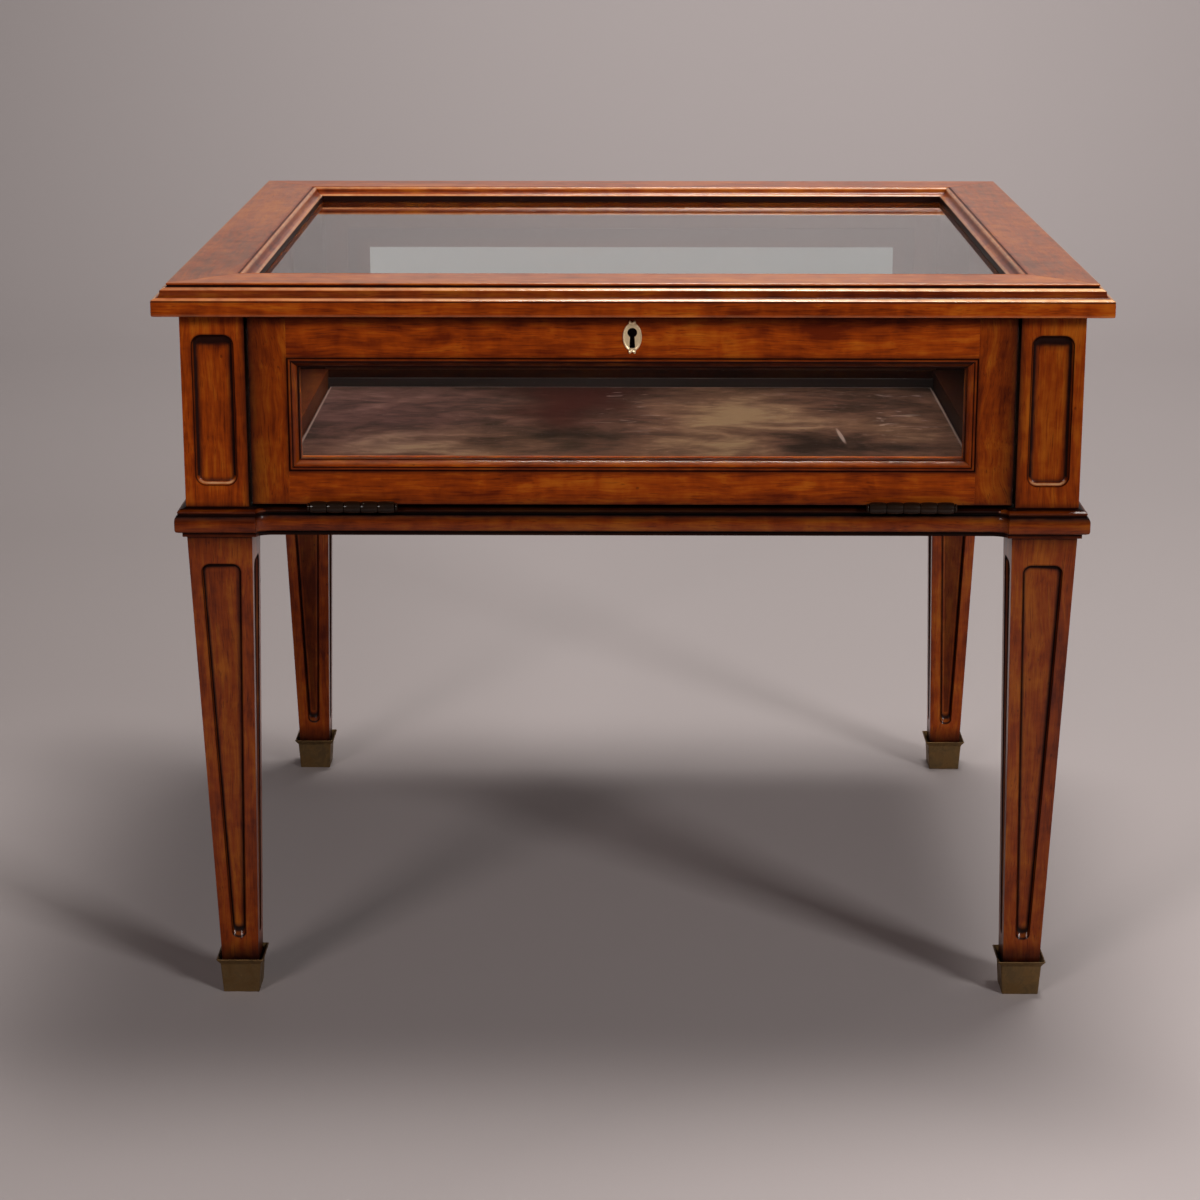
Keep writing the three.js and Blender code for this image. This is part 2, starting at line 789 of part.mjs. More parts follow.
// Escutcheon: an oval plate with a small finial above and below
function escutcheonOutline(inset) {
  const sideSteps = 8;
  const finialSteps = 4;
  const meet = Math.asin(finialRadius / escutcheonHalfWidth);
  const finialUp = escutcheonHalfHeight * Math.cos(meet);
  const half = [];
  for (let i = 0; i <= sideSteps; i += 1) {
    const turn = meet - Math.PI / 2 + (i / sideSteps) * (Math.PI - 2 * meet);
    half.push([
      (escutcheonHalfWidth - inset) * Math.cos(turn),
      (escutcheonHalfHeight - inset) * Math.sin(turn),
    ]);
  }
  for (let i = 1; i < finialSteps; i += 1) {
    const turn = (i / finialSteps) * Math.PI;
    half.push([(finialRadius - inset) * Math.cos(turn), finialUp + (finialRadius - inset) * Math.sin(turn)]);
  }
  return [...half, ...half.map(([across, up]) => [-across, -up])];
}

function escutcheon() {
  const middle = keyHeight - (keyDrop - keyRadius) / 2;
  const plate = loft([
    [0, 0], [escutcheonThick - escutcheonBevel, 0], [escutcheonThick, escutcheonBevel],
  ].map(([out, inset]) => escutcheonOutline(inset).map(([x, up]) => [x, doorFace - out, middle + up])));
  const body = carve(plate, [keyholeCutter(0, doorFace - overrun, doorFace + overrun)]);
  return named('escutcheon', body, paleBrass);
}

// Lock: a case let into the back of the door, and its bolt, drawn back
function lock() {
  const slotHalf = boltThick / 2 + fitGap;
  const boltTop = doorTop - fitGap;
  const boltFoot = boltTop - boltHeight;
  const shell = box(
    about(0, lockWidth / 2),
    [doorBack - lockThick, doorBack],
    [doorTop - lockHeight, doorTop],
  );
  const boltWay = box(
    about(0, boltWidth / 2 + fitGap),
    about(boltY, slotHalf),
    [boltFoot - fitGap, doorTop + overrun],
  );
  const keyWay = box(
    about(0, talonWidth / 2),
    about(boltY, slotHalf),
    [keyHeight - keyDrop, boltFoot],
  );
  const bolt = box(about(0, boltWidth / 2), about(boltY, boltThick / 2), [boltFoot, boltTop]);
  const talon = box(
    about(0, talonWidth / 2),
    about(boltY, boltThick),
    [boltFoot - overrun, boltFoot + talonHeight],
  );
  return [
    named('lock_case', carve(shell, [
      boltWay, keyWay, keyholeCutter(0, doorBack - lockThick - overrun, boltY),
    ]), steel),
    named('lock_bolt', carve(bolt, [talon]), paleBrass),
  ];
}

// Hinges: leaves let into the door and the waist moulding, with round barrels in front
function knuckle(i, radius, sides) {
  const pitch = hingeLength / knuckleCount;
  const barrel = new THREE.CylinderGeometry(radius, radius, pitch - fitGap, sides);
  return barrel.rotateZ(Math.PI / 2).translate((i + 0.5) * pitch - hingeLength / 2, 0, 0);
}

function hingeLeaf(knuckles, up) {
  const pitch = hingeLength / knuckleCount;
  const inner = up * (hingeJoint / 2);
  const heights = [inner, inner + up * leafThick].sort((a, b) => a - b);
  const plateStart = hingeAxisReach;
  const plate = box(about(0, hingeLength / 2), [plateStart, hingeAxisReach + leafDepth], heights);
  const tabs = knuckles.map((i) => box(
    about((i + 0.5) * pitch - hingeLength / 2, (pitch - fitGap) / 2),
    [0, plateStart + overrun],
    heights,
  ));
  const bore = new THREE.CylinderGeometry(pinRadius + fitGap, pinRadius + fitGap, 2 * hingeLength, 12);
  const body = join([plate, ...tabs, ...knuckles.map((i) => knuckle(i, hingeRadius, 16))]);
  return carve(body, [bore.rotateZ(Math.PI / 2)]);
}

function hingePin() {
  const steps = 5;
  const meet = Math.asin(pinRadius / tipRadius);
  const middle = hingeLength / 2 + (tipLength / 2) * Math.cos(meet);
  const tip = [];
  for (let i = 0; i <= steps; i += 1) {
    const turn = (i / steps) * (Math.PI - meet);
    tip.push([tipRadius * Math.sin(turn), middle + (tipLength / 2) * Math.cos(turn)]);
  }
  const profile = [
    ...tip.map(([radius, along]) => [radius, -along]),
    ...tip.toReversed(),
  ].map(([radius, along]) => new THREE.Vector2(radius, along));
  profile[0].x = 0;
  profile.at(-1).x = 0;
  return new THREE.LatheGeometry(profile, 12).rotateZ(Math.PI / 2);
}

function hinge(side, sideName) {
  const group = new THREE.Group();
  group.position.set(hingeX(side), hingeY, hingeZ);
  group.add(named(`hinge_frame_leaf_${sideName}`, hingeLeaf([0, 2, 4], -1), bronze));
  group.add(named(`hinge_door_leaf_${sideName}`, hingeLeaf([1, 3], 1), bronze));
  group.add(named(`hinge_pin_${sideName}`, hingePin(), bronze));
  return group;
}

// The table
const table = new THREE.Group();
table.add(topFrame(), ...topGlazing(), strikePlate());
table.add(waistFrame(), ...bottom());
table.add(...atCorner('post', post(), wood));
table.add(...atCorner('leg', leg(), wood));
table.add(...atCorner('sabot', sabot(), agedBrass));
table.add(wall('back', Math.PI, caseHalfY - wallSetback, postInnerX));
table.add(wall('side_left', -Math.PI / 2, caseHalfX - wallSetback, postInnerY));
table.add(wall('side_right', Math.PI / 2, caseHalfX - wallSetback, postInnerY));
table.add(...doorFrame(), doorGlazing(), escutcheon(), ...lock());
table.add(hinge(-1, 'left'), hinge(1, 'right'));

export default table;
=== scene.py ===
import math

import bmesh
import bpy
from mathutils import Matrix, Vector


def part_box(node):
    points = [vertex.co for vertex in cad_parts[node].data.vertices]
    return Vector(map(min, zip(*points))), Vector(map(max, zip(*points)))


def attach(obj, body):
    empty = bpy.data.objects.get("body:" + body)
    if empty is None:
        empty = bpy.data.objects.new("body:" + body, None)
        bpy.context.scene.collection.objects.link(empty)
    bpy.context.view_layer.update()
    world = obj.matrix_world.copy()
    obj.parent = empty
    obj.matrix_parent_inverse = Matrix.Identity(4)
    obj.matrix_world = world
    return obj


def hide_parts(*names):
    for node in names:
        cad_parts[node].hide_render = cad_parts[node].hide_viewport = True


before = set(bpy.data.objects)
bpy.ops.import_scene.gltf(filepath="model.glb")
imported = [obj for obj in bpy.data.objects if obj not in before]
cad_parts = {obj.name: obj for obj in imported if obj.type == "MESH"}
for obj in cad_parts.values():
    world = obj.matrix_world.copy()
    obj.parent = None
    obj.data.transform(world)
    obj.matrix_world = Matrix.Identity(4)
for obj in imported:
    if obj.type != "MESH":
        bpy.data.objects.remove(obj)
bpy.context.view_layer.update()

bl_info = {
    "name": "Collectors Display Table",
    "version": (1, 0, 0),
    "blender": (4, 5, 0),
    "location": "View3D > Sidebar > Display Table",
    "description": "Dresses the display table: moulded and panelled wood, glass, velvet and brass",
    "category": "Add Mesh",
}

MM = 0.001


def span(*nodes):
    """Lowest and highest corners of CAD nodes taken together, in millimetres."""
    boxes = [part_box(node) for node in nodes]
    low = [min(box[0][i] for box in boxes) / MM for i in range(3)]
    high = [max(box[1][i] for box in boxes) / MM for i in range(3)]
    return Vector(low), Vector(high)


# Places that the CAD parts in model.glb give, in millimetres
TOP_LOW, TOP_HIGH = span("top_rail_left", "top_rail_right", "top_rail_front", "top_rail_back")
POST_LOW, POST_HIGH = span("post_front_left")
WAIST_LOW, WAIST_HIGH = span("waist_rail_left", "waist_rail_right", "waist_rail_front")
SABOT_HIGH = span("sabot_front_left")[1]
DOOR_LOW, DOOR_HIGH = span("door_stile_left", "door_stile_right")
CASE_X, CASE_Y = -POST_LOW.x, -POST_LOW.y
POST_IN_X, POST_IN_Y = -POST_HIGH.x, -POST_HIGH.y
POST_SIZE = CASE_X - POST_IN_X

# Sizes of the parts of a piece, in millimetres
JOINT = 0.1  # left at each glued mitre
TOP_RAIL = 67.5
TOP_BAND = 11.2
TOP_REBATE = 7.5
EDGE_REACH = 11
SIGHT_WIDTH = 10
SIGHT_HEIGHT = 9.5
WAIST_REACH = 8.2
WAIST_SETBACK = 7.5
WAIST_LIP = 3
BLOCK_PAST_LIP = 2
BLOCK_CURVE = 13
BOTTOM_REBATE = 8
LEG_TOP = 49.5
LEG_FOOT = 28.8
LEG_TAPER = 13.3
WALL_BORDER = 29
WALL_THICK = 19
WALL_PANEL = 6
WALL_SETBACK = 1.5
STILE = 28.5
DOOR_TOP_RAIL = 30.5
DOOR_BOTTOM_RAIL = 25.5
DOOR_THICK = 20
MOULD_WIDTH = 8.5
MOULD_DEPTH = 11
KEY_BELOW_TOP = 11.2
POST_PANEL_SIDE = 8
POST_PANEL_END = 16
LEG_PANEL_FOOT = 17
LEG_PANEL_TOP = 22
LEG_FOOT_CHAMFER = 2.3
KEYHOLE_EASE = 0.6
LOCK_BORE = 10
POCKET_EASE = 0.15
BOLT_ROOM = 0.7
BOLT_SLOT = 6.5
CLOTH_THICK = 0.9
CLOTH_HEM = 1.8
CLOTH_ROUND = 0.8
PANEL_RIM = 1.2
TOP_REBATE_LEVEL = 11.3
WAIST_REBATE_LEVEL = 4.8
LEG_BORDER_FOOT = 9.6
LEG_BORDER_TOP = 8.6
LEG_END = 25
SABOT_LIP = 4.6
SABOT_WALL = 1.2
SABOT_FOOT = 14  # half of its width on the floor
WALL_PANEL_HOLD = 7.7
CLOSE = 0.001  # points nearer to each other than this are one

# The stage, in metres: the floor's edges, its curve up to the backdrop and the backdrop's height
FLOOR_SIDE, FLOOR_FRONT, FLOOR_BACK = 7, -7, 2.6
BACKDROP_CURVE, BACKDROP_RISE = 1.6, 2.4
# A glowing card, seen only in reflections, paints a reflection on the top's front flats
CARD_PLACE, CARD_SIZE = (0.0035, 1.5, 0.8045), (0.715, 0.059)
CARD_COLOUR = (0.62, 0.60, 0.585, 1)
CAMERA_PLACE, CAMERA_TILT, CAMERA_TURN = (-0.006144, -2.44095, 0.89724), 0.2615, 0.0084
CAMERA_LENS, CAMERA_FILM = 86.7, 36  # in millimetres
ROOM_COLOUR, ROOM_STRENGTH = (1.0, 0.8, 0.77, 1), 0.028
# Each lamp's place, the point that it faces, its width and height, and its tint
LAMPS = {
    "overhead": ((0.35, 0.44, 2.8), (0.2, 0.3, 0.3), (1.3, 0.6), (1.0, 0.965, 0.92)),
    "right": ((3.0, -3.5, 2.3), (0.0, 0.0, 0.3), (0.9, 0.9), (1.0, 0.985, 0.96)),
    "left": ((-1.9, -3.3, 1.9), (0.0, 0.0, 0.3), (0.8, 0.8), (1.0, 0.91, 0.88)),
    "backdrop": ((0.05, 2.3, 2.9), (0.0, 4.2, 1.45), (1.9, 0.5), (1.0, 0.985, 0.96)),
}

# Profiles as shares of the sizes they fill: across, up, and how dark the glaze and painted shade lie
# there, in the quirks and hollows. Below 0 the finish is painted pale: painted highlights on the beads
# and edges that catch the lamps, with a little wear from rubbing.
EDGE_PROFILE = [
    (1, 0, 0.7), (0.975, 0.018, 1), (0.995, 0.045, 0.4), (0.99, 0.075, -0.6), (0.965, 0.095, -0.9),
    (0.77, 0.175, -0.9), (0.72, 0.185, -0.1), (0.63, 0.2, 0.6), (0.55, 0.25, 0.5),
    (0.49, 0.33, 0.4), (0.455, 0.44, 0.35), (0.445, 0.55, 0.4), (0.44, 0.59, 0.1),
    (0.42, 0.615, -0.7), (0.385, 0.635, -0.9), (0.17, 0.725, -0.9), (0.11, 0.74, -0.1),
    (0.06, 0.745, 0.9), (0.02, 0.75, 1), (0, 0.77, 1), (0, 0.845, 1), (0.03, 0.87, 0.8),
    (0.055, 0.89, 0.2), (0.055, 0.93, 0), (0.04, 0.97, -0.4), (0, 0.995, -0.6), (-0.05, 1, -0.2),
]
SIGHT_PROFILE = [
    (1.04, 1, 0.1), (1, 0.93, 0.7), (0.93, 0.91, 0.7), (0.87, 0.96, 0.1), (0.8, 0.985, -0.2),
    (0.73, 0.965, -0.5), (0.62, 0.86, -0.4), (0.56, 0.7, 0.3), (0.48, 0.55, 0.4), (0.37, 0.43, 0.2),
    (0.25, 0.37, 0), (0.15, 0.34, -0.4), (0.03, 0.22, -0.5), (0.01, 0.18, 0.9), (0, 0.1, 1),
]
WAIST_PROFILE = [
    (0.37, 0, 0.4), (0.37, 0.13, 0.9), (0.75, 0.17, 0.5), (0.93, 0.2, 0.35), (1, 0.27, 0.1),
    (1, 0.5, 0), (1, 0.57, 0.3), (0.97, 0.65, 0.55), (0.86, 0.72, 0.9), (0.7, 0.75, 1),
    (0.64, 0.78, 0.9), (0.72, 0.815, 0.6), (0.75, 0.85, 0.35), (0.71, 0.885, 0.3),
    (0.55, 0.925, 0.35), (0.44, 0.94, 0.7), (0.16, 0.96, 1), (0, 1, 1),
]
MOULD_PROFILE = [
    (1, 0.03, 0.8), (0.965, 0.1, 1), (0.935, 0.1, 1), (0.9, 0.04, 0.8), (0.85, 0.005, 0.5),
    (0.77, 0, 0.35), (0.7, 0.03, 0.55), (0.67, 0.1, 1), (0.635, 0.11, 1), (0.6, 0.085, 0.55),
    (0.53, 0.1, 0.35), (0.43, 0.16, 0.22), (0.32, 0.26, 0.18), (0.23, 0.37, 0.2), (0.17, 0.47, 0.4),
    (0.12, 0.54, 0.95), (0.07, 0.55, 1), (0.03, 0.55, 0.8), (0, 0.58, 0.9), (0, 0.68, 1),
]
# A sunk panel's edge as shares of its width and depth: in, down, scooped, and then the glaze and
# painted light on its sides, under its top, in painted shade, and at its foot, below 0 a painted
# highlight
COVE_PROFILE = [
    (0, 0, 0, 0.3, 0.5, 0.1), (0.03, 0.03, 0.03, 1, 1, 0.5), (0.08, 0.15, 0.12, 1, 1, 0.95),
    (0.13, 0.32, 0.28, 0.4, 1, 0.2), (0.2, 0.52, 0.43, 0.5, 1, -0.5), (0.33, 0.75, 0.6, 1, 1, -0.9),
    (0.52, 0.9, 0.78, 0.85, 1, 0.7), (0.76, 0.98, 0.93, 0.45, 0.95, 0.5), (1, 1, 1, 0.15, 0.5, 0.1),
]


# Mesh making, in millimetres until a piece is finished

def new_shape():
    """An empty mesh in the making, with a layer for how dark the glaze and painted shade lie, and below
    0 how pale the painted highlights are.
    """
    shape = bmesh.new()
    shape.verts.layers.float.new("glaze")
    return shape


# The layer: glaze and painted shade above 0, painted highlights and a little wear below 0
def glaze_and_painted_light_of(shape):
    return shape.verts.layers.float["glaze"]


def tint(shape, rule, verts=None):
    """Darkens the glaze and painted shade at each point to what the rule says for its place."""
    layer = glaze_and_painted_light_of(shape)
    for vert in verts or shape.verts:
        dark = rule(vert.co)
        if dark > 0:
            vert[layer] = max(vert[layer], dark)


def fade(distance, *steps):
    """Glaze at a distance from an edge, along steps of (distance, glaze)."""
    for (near, dark), (far, light) in zip(steps, steps[1:]):
        if distance <= far:
            share = max(0.0, distance - near) / (far - near)
            return dark + (light - dark) * share
    return steps[-1][1]


def moved(shape, matrix):
    """Moves a whole shape, and gives it back."""
    bmesh.ops.transform(shape, matrix=matrix, verts=shape.verts)
    return shape


def turned_to(turn, x, y, z=0.0):
    """A turn about Z and then a move."""
    return Matrix.Translation((x, y, z)) @ Matrix.Rotation(turn, 4, "Z")


def of_kind(parts, kind):
    """The points, edges or faces among what an operator made."""
    return [part for part in parts if isinstance(part, kind)]


def extruded(shape, face):
    """Extrudes one face in place and gives the new face. No face stays behind inside."""
    made = bmesh.ops.extrude_face_region(shape, geom=[face])["geom"]
    if face.is_valid and any(len(edge.link_faces) > 2 for edge in face.edges):
        bmesh.ops.delete(shape, geom=[face], context="FACES_ONLY")
    return of_kind(made, bmesh.types.BMFace)[0]


def pulled(shape, edges, way):
    """Extrudes open edges one way, and gives the new points and edges."""
    made = bmesh.ops.extrude_edge_only(shape, edges=edges)["geom"]
    verts = of_kind(made, bmesh.types.BMVert)
    bmesh.ops.translate(shape, vec=way, verts=verts)
    return verts, of_kind(made, bmesh.types.BMEdge)


def cut(shape, point, normal):
    """Cuts the faces of a shape along a plane, and keeps both sides."""
    bmesh.ops.bisect_plane(
        shape, geom=[*shape.verts, *shape.edges, *shape.faces], plane_co=point, plane_no=normal,
    )


def cut_at(shape, axis, *positions):
    """Cuts the faces of a shape across an axis, at positions along it."""
    normal = Vector()
    normal[axis] = 1
    for position in positions:
        cut(shape, normal * position, normal)


def block(low, high, cuts=()):
    """A box between two corners, cut across at places given as (axis, position)."""
    shape = new_shape()
    bmesh.ops.create_cube(shape, size=1)
    low, high = Vector(low), Vector(high)
    place = Matrix.Translation((low + high) / 2) @ Matrix.Diagonal((*(high - low), 1))
    moved(shape, place)
    for axis, position in cuts:
        cut_at(shape, axis, position)
    return shape


def added(shape, *others):
    """Puts other shapes into this one."""
    for other in others:
        mesh = bpy.data.meshes.new("part")
        other.to_mesh(mesh)
        other.free()
        shape.from_mesh(mesh)
        bpy.data.meshes.remove(mesh)
    return shape


def spread(profile, across, up, start_across=0.0, start_up=0.0):
    """A profile at its size in millimetres."""
    return [(start_across + a * across, start_up + u * up, dark) for a, u, dark in profile]


def lay(shape, verts, x, slope):
    """Puts a ring of points at x along a bar, on a plane that slopes with the way out."""
    flat = Matrix(((0, slope, 0, x), (0, 1, 0, 0), (0, 0, 1, 0), (0, 0, 0, 1)))
    bmesh.ops.transform(shape, matrix=flat, verts=verts)


def moulded_bar(section, half, stations=(), moves_past=0.0):
    """A bar along X with mitred ends. Stations are (x, set back) between the ends, and only
    points further out than moves_past are set back."""
    shape = new_shape()
    layer = glaze_and_painted_light_of(shape)
    ring = []
    for out, up, dark in section:
        vert = shape.verts.new((0, out, up))
        vert[layer] = dark
        ring.append(vert)
    face = shape.faces.new(ring)
    lay(shape, ring, -(half - JOINT), -1)
    back = 0.0
    for x, set_back in stations:
        face = extruded(shape, face)
        lay(shape, face.verts, x, 0)
        outer = [vert for vert in face.verts if vert.co.y > moves_past]
        bmesh.ops.translate(shape, vec=(0, back - set_back, 0), verts=outer)
        back = set_back
    face = extruded(shape, face)
    outer = [vert for vert in face.verts if vert.co.y > moves_past]
    bmesh.ops.translate(shape, vec=(0, back, 0), verts=outer)
    lay(shape, face.verts, half - JOINT, 1)
    return shape


# The four sides of a frame: turn, whether its length runs along X, and the way out
SIDES = {
    "back": (0, True, (0, 1)),
    "front": (math.pi, True, (0, -1)),
    "left": (math.pi / 2, False, (-1, 0)),
    "right": (-math.pi / 2, False, (1, 0)),
}


# The four corners of the case. From each, X and Y run inward along its two walls.
CORNERS = {
    "front_left": turned_to(0, -CASE_X, -CASE_Y),
    "front_right": turned_to(math.pi / 2, CASE_X, -CASE_Y),
    "back_right": turned_to(math.pi, CASE_X, CASE_Y),
    "back_left": turned_to(-math.pi / 2, -CASE_X, CASE_Y),
}


def side_matrix(side, half_x, half_y, z=0.0):
    """Puts a bar that was made along X on one side of a frame."""
    turn, _, (out_x, out_y) = SIDES[side]
    return turned_to(turn, out_x * half_x, out_y * half_y, z)


def facing(turn, distance, height):
    """A wall's own frame, X along it, Y up and Z out of its face, set into the table."""
    return (
        Matrix.Rotation(turn, 4, "Z")
        @ Matrix.Translation((0, -distance, height))
        @ Matrix.Rotation(math.pi / 2, 4, "X")
    )


def sink_panel(shape, face, out, corners, radii, edge, depth, scoop=0.0, field=0.06):
    """Sinks a round-cornered panel with a coved edge into a flat face. Corners run round from the
    two low ones to the two high ones, with a radius for each pair. Field is the glaze and painted
    shade over it."""
    panel = new_shape()
    layer = glaze_and_painted_light_of(panel)
    rise = (Vector(corners[3]) - Vector(corners[0])).normalized()
    middle = sum((Vector(c) for c in corners), Vector()) / 4
    across = (Vector(corners[1]) - Vector(corners[0])).normalized()
    quad = panel.faces.new([
        panel.verts.new(
            Vector(c)
            + across * math.copysign(PANEL_RIM, (Vector(c) - middle).dot(across))
            + rise * math.copysign(PANEL_RIM, (Vector(c) - middle).dot(rise))
        )
        for c in corners
    ])
    panel.normal_update()
    if quad.normal.dot(Vector(out)) < 0:
        quad.normal_flip()
    low_level = (Vector(corners[0]) + rise * radii[0]).z
    high_level = (Vector(corners[3]) - rise * radii[1]).z

    def glaze_with_painted_light(step, z):
        """The glaze and painted light of a step at a height, from its sides to its top, in painted
        shade, and to its foot, with painted highlights.
        """
        above = min(1, max(0, 1.6 * (z - high_level) / radii[1]))
        below = min(1, max(0, 1.6 * (low_level - z) / radii[0]))
        return step[3] + (step[4] - step[3]) * above + (step[5] - step[3]) * below

    panel.verts.ensure_lookup_table()
    for pair, radius in zip((panel.verts[:2], panel.verts[2:]), radii):
        bmesh.ops.bevel(
            panel, geom=pair, affect="VERTICES", offset=(radius + PANEL_RIM) * 0.999,
            offset_type="OFFSET", segments=7, profile=0.5, material=-1,
        )
    bmesh.ops.remove_doubles(panel, verts=panel.verts, dist=0.02)
    inner = max(panel.faces, key=lambda f: len(f.verts))
    bmesh.ops.inset_individual(panel, faces=[inner], thickness=PANEL_RIM, use_even_offset=True)
    past = (0, 0, 0)
    for step in COVE_PROFILE:
        inner = max(panel.faces, key=lambda f: len(f.verts))
        if step[0]:
            bmesh.ops.inset_individual(
                panel, faces=[inner], thickness=(step[0] - past[0]) * edge,
                depth=-(step[1] - past[1]) * depth, use_even_offset=True,
            )
            inner = max(panel.faces, key=lambda f: len(f.verts))
            foot = [vert for vert in inner.verts if vert.co.z < low_level + scoop * past[2] + 0.5]
            bmesh.ops.translate(panel, vec=rise * scoop * (step[2] - past[2]), verts=foot)
        for vert in inner.verts:
            vert[layer] = glaze_with_painted_light(step, vert.co.z)
        past = step
    inner = max(panel.faces, key=lambda f: len(f.verts))
    bmesh.ops.inset_individual(panel, faces=[inner], thickness=0.2 * edge, use_even_offset=True)
    inner = max(panel.faces, key=lambda f: len(f.verts))
    for vert in inner.verts:
        vert[layer] = field
    # Painted shade under the top: the field darkens below the top cove
    top, level = Vector(corners[3]), Vector(out)
    for drop in (1.25, 1.5, 2):
        cut(panel, top - rise * edge * drop, rise)
    sunk = [v for v in panel.verts if (top - v.co).dot(level) > 0.97 * depth]
    tint(panel, lambda co: fade(
        (top - co).dot(rise) / edge, (0.9, 1), (1.25, 0.75), (1.5, 0.35), (2, 0),
    ), sunk)
    outline = list(face.edges)
    bmesh.ops.delete(shape, geom=[face], context="FACES_ONLY")
    before = len(shape.edges)
    added(shape, panel)
    shape.edges.ensure_lookup_table()
    hole = [edge for edge in shape.edges[before:] if len(edge.link_faces) == 1]
    bmesh.ops.triangle_fill(shape, use_beauty=True, use_dissolve=False, edges=outline + hole)


def face_at(shape, place):
    """The face whose middle lies nearest to a place."""
    return min(shape.faces, key=lambda f: (f.calc_center_median() - Vector(place)).length)


def let_in(shape, face, outline, depth, dark):
    """Sinks a pocket with straight sides into a flat face. Dark is its material's number, black in
    painted shade.
    """
    bmesh.ops.recalc_face_normals(shape, faces=shape.faces)
    normal, kept = face.normal.copy(), face.material_index
    pocket = new_shape()
    rim = pocket.faces.new([pocket.verts.new(point) for point in outline])
    floor = extruded(pocket, rim)
    bmesh.ops.translate(pocket, vec=normal * -depth, verts=floor.verts)
    for part in pocket.faces:
        part.material_index = dark
    bmesh.ops.delete(pocket, geom=[rim], context="FACES_ONLY")
    around = list(face.edges)
    bmesh.ops.delete(shape, geom=[face], context="FACES_ONLY")
    before = len(shape.edges)
    added(shape, pocket)
    shape.edges.ensure_lookup_table()
    hole = [edge for edge in shape.edges[before:] if len(edge.link_faces) == 1]
    if len(around) != 4 or len(hole) != 4:
        bmesh.ops.triangle_fill(shape, use_beauty=True, use_dissolve=False, edges=around + hole)
        return
    middle = sum((Vector(point) for point in outline), Vector()) / 4
    along = (Vector(outline[1]) - Vector(outline[0])).normalized()
    aside = normal.cross(along)

    def bearing(vert):
        return math.atan2((vert.co - middle).dot(aside), (vert.co - middle).dot(along))

    outer, inner = (
        sorted({vert for edge in edges for vert in edge.verts}, key=bearing)
        for edges in (around, hole)
    )
    for i in range(4):
        ring = shape.faces.new((outer[i - 1], outer[i], inner[i], inner[i - 1]))
        ring.material_index = kept


def cut_notch(shape, low, high, dark):
    """Cuts a notch out of a block's back and top. Dark is its material's number, black in painted
    shade.
    """
    cut_at(shape, 0, low.x, high.x)
    cut_at(shape, 1, low.y)
    cut_at(shape, 2, low.z)
    back = face_at(shape, ((low.x + high.x) / 2, high.y, (low.z + high.z) / 2))
    back = extruded(shape, back)
    back.material_index = dark
    bmesh.ops.translate(shape, vec=(0, low.y - high.y, 0), verts=back.verts)
    bmesh.ops.remove_doubles(shape, verts=shape.verts, dist=CLOSE)
    roof = [
        face for face in shape.faces
        if all(v.co.z > high.z - CLOSE and low.x - CLOSE < v.co.x < high.x + CLOSE
               and v.co.y > low.y - CLOSE for v in face.verts)
    ]
    bmesh.ops.delete(shape, geom=roof, context="FACES")


def pierced_plate(outline, hole, steps):
    """A plate in the plane z = 0 that rises along steps of (height, share of its outline), with a
    hole through it."""
    shape = new_shape()
    base = shape.faces.new([shape.verts.new((x, y, 0)) for x, y in outline])
    top, height, share = base, 0.0, 1.0
    for next_height, next_share in steps:
        top = extruded(shape, top)
        grow = next_share / share
        bmesh.ops.transform(
            shape,
            matrix=Matrix.Translation((0, 0, next_height)) @ Matrix.Diagonal((grow, grow, 1, 1))
            @ Matrix.Translation((0, 0, -height)),
            verts=top.verts,
        )
        height, share = next_height, next_share
    bore = new_shape()
    foot = bore.faces.new([bore.verts.new((x, y, 0)) for x, y in hole])
    head = extruded(bore, foot)
    bmesh.ops.translate(bore, vec=(0, 0, height), verts=head.verts)
    bmesh.ops.delete(bore, geom=[foot, head], context="FACES_ONLY")
    rims = [list(face.edges) for face in (base, top)]
    bmesh.ops.delete(shape, geom=[base, top], context="FACES_ONLY")
    before = len(shape.edges)
    added(shape, bore)
    shape.edges.ensure_lookup_table()
    ends = [edge for edge in shape.edges[before:] if len(edge.link_faces) == 1]
    for rim, level in zip(rims, (0, height)):
        hole_rim = [edge for edge in ends if abs(edge.verts[0].co.z - level) < CLOSE]
        bmesh.ops.triangle_fill(shape, use_beauty=True, use_dissolve=False, edges=rim + hole_rim)
    return shape


def keyhole(level, ease=0.0):
    """The outline of a keyhole as (across, up): a round at a level, with a foot that widens below
    it."""
    steps = 20
    radius, neck, foot, drop = 3.65 + ease, 1.7 + ease, 2.15 + ease, 11.6 + ease
    meet = math.asin(neck / radius)
    turns = [meet - math.pi / 2 + i / steps * 2 * (math.pi - meet) for i in range(steps + 1)]
    points = [(radius * math.cos(turn), radius * math.sin(turn)) for turn in turns]
    points += [(-foot, 1 - drop), (-foot + 0.35, 0.3 - drop), (1 - foot, -drop)]
    points += [(foot - 1, -drop), (foot - 0.35, 0.3 - drop), (foot, 1 - drop)]
    return [(across, level + up) for across, up in points]


def face_towards(shape, out):
    """The face of a shape that points most nearly one way."""
    shape.normal_update()
    return max(shape.faces, key=lambda f: (f.normal.dot(Vector(out)), f.calc_area()))


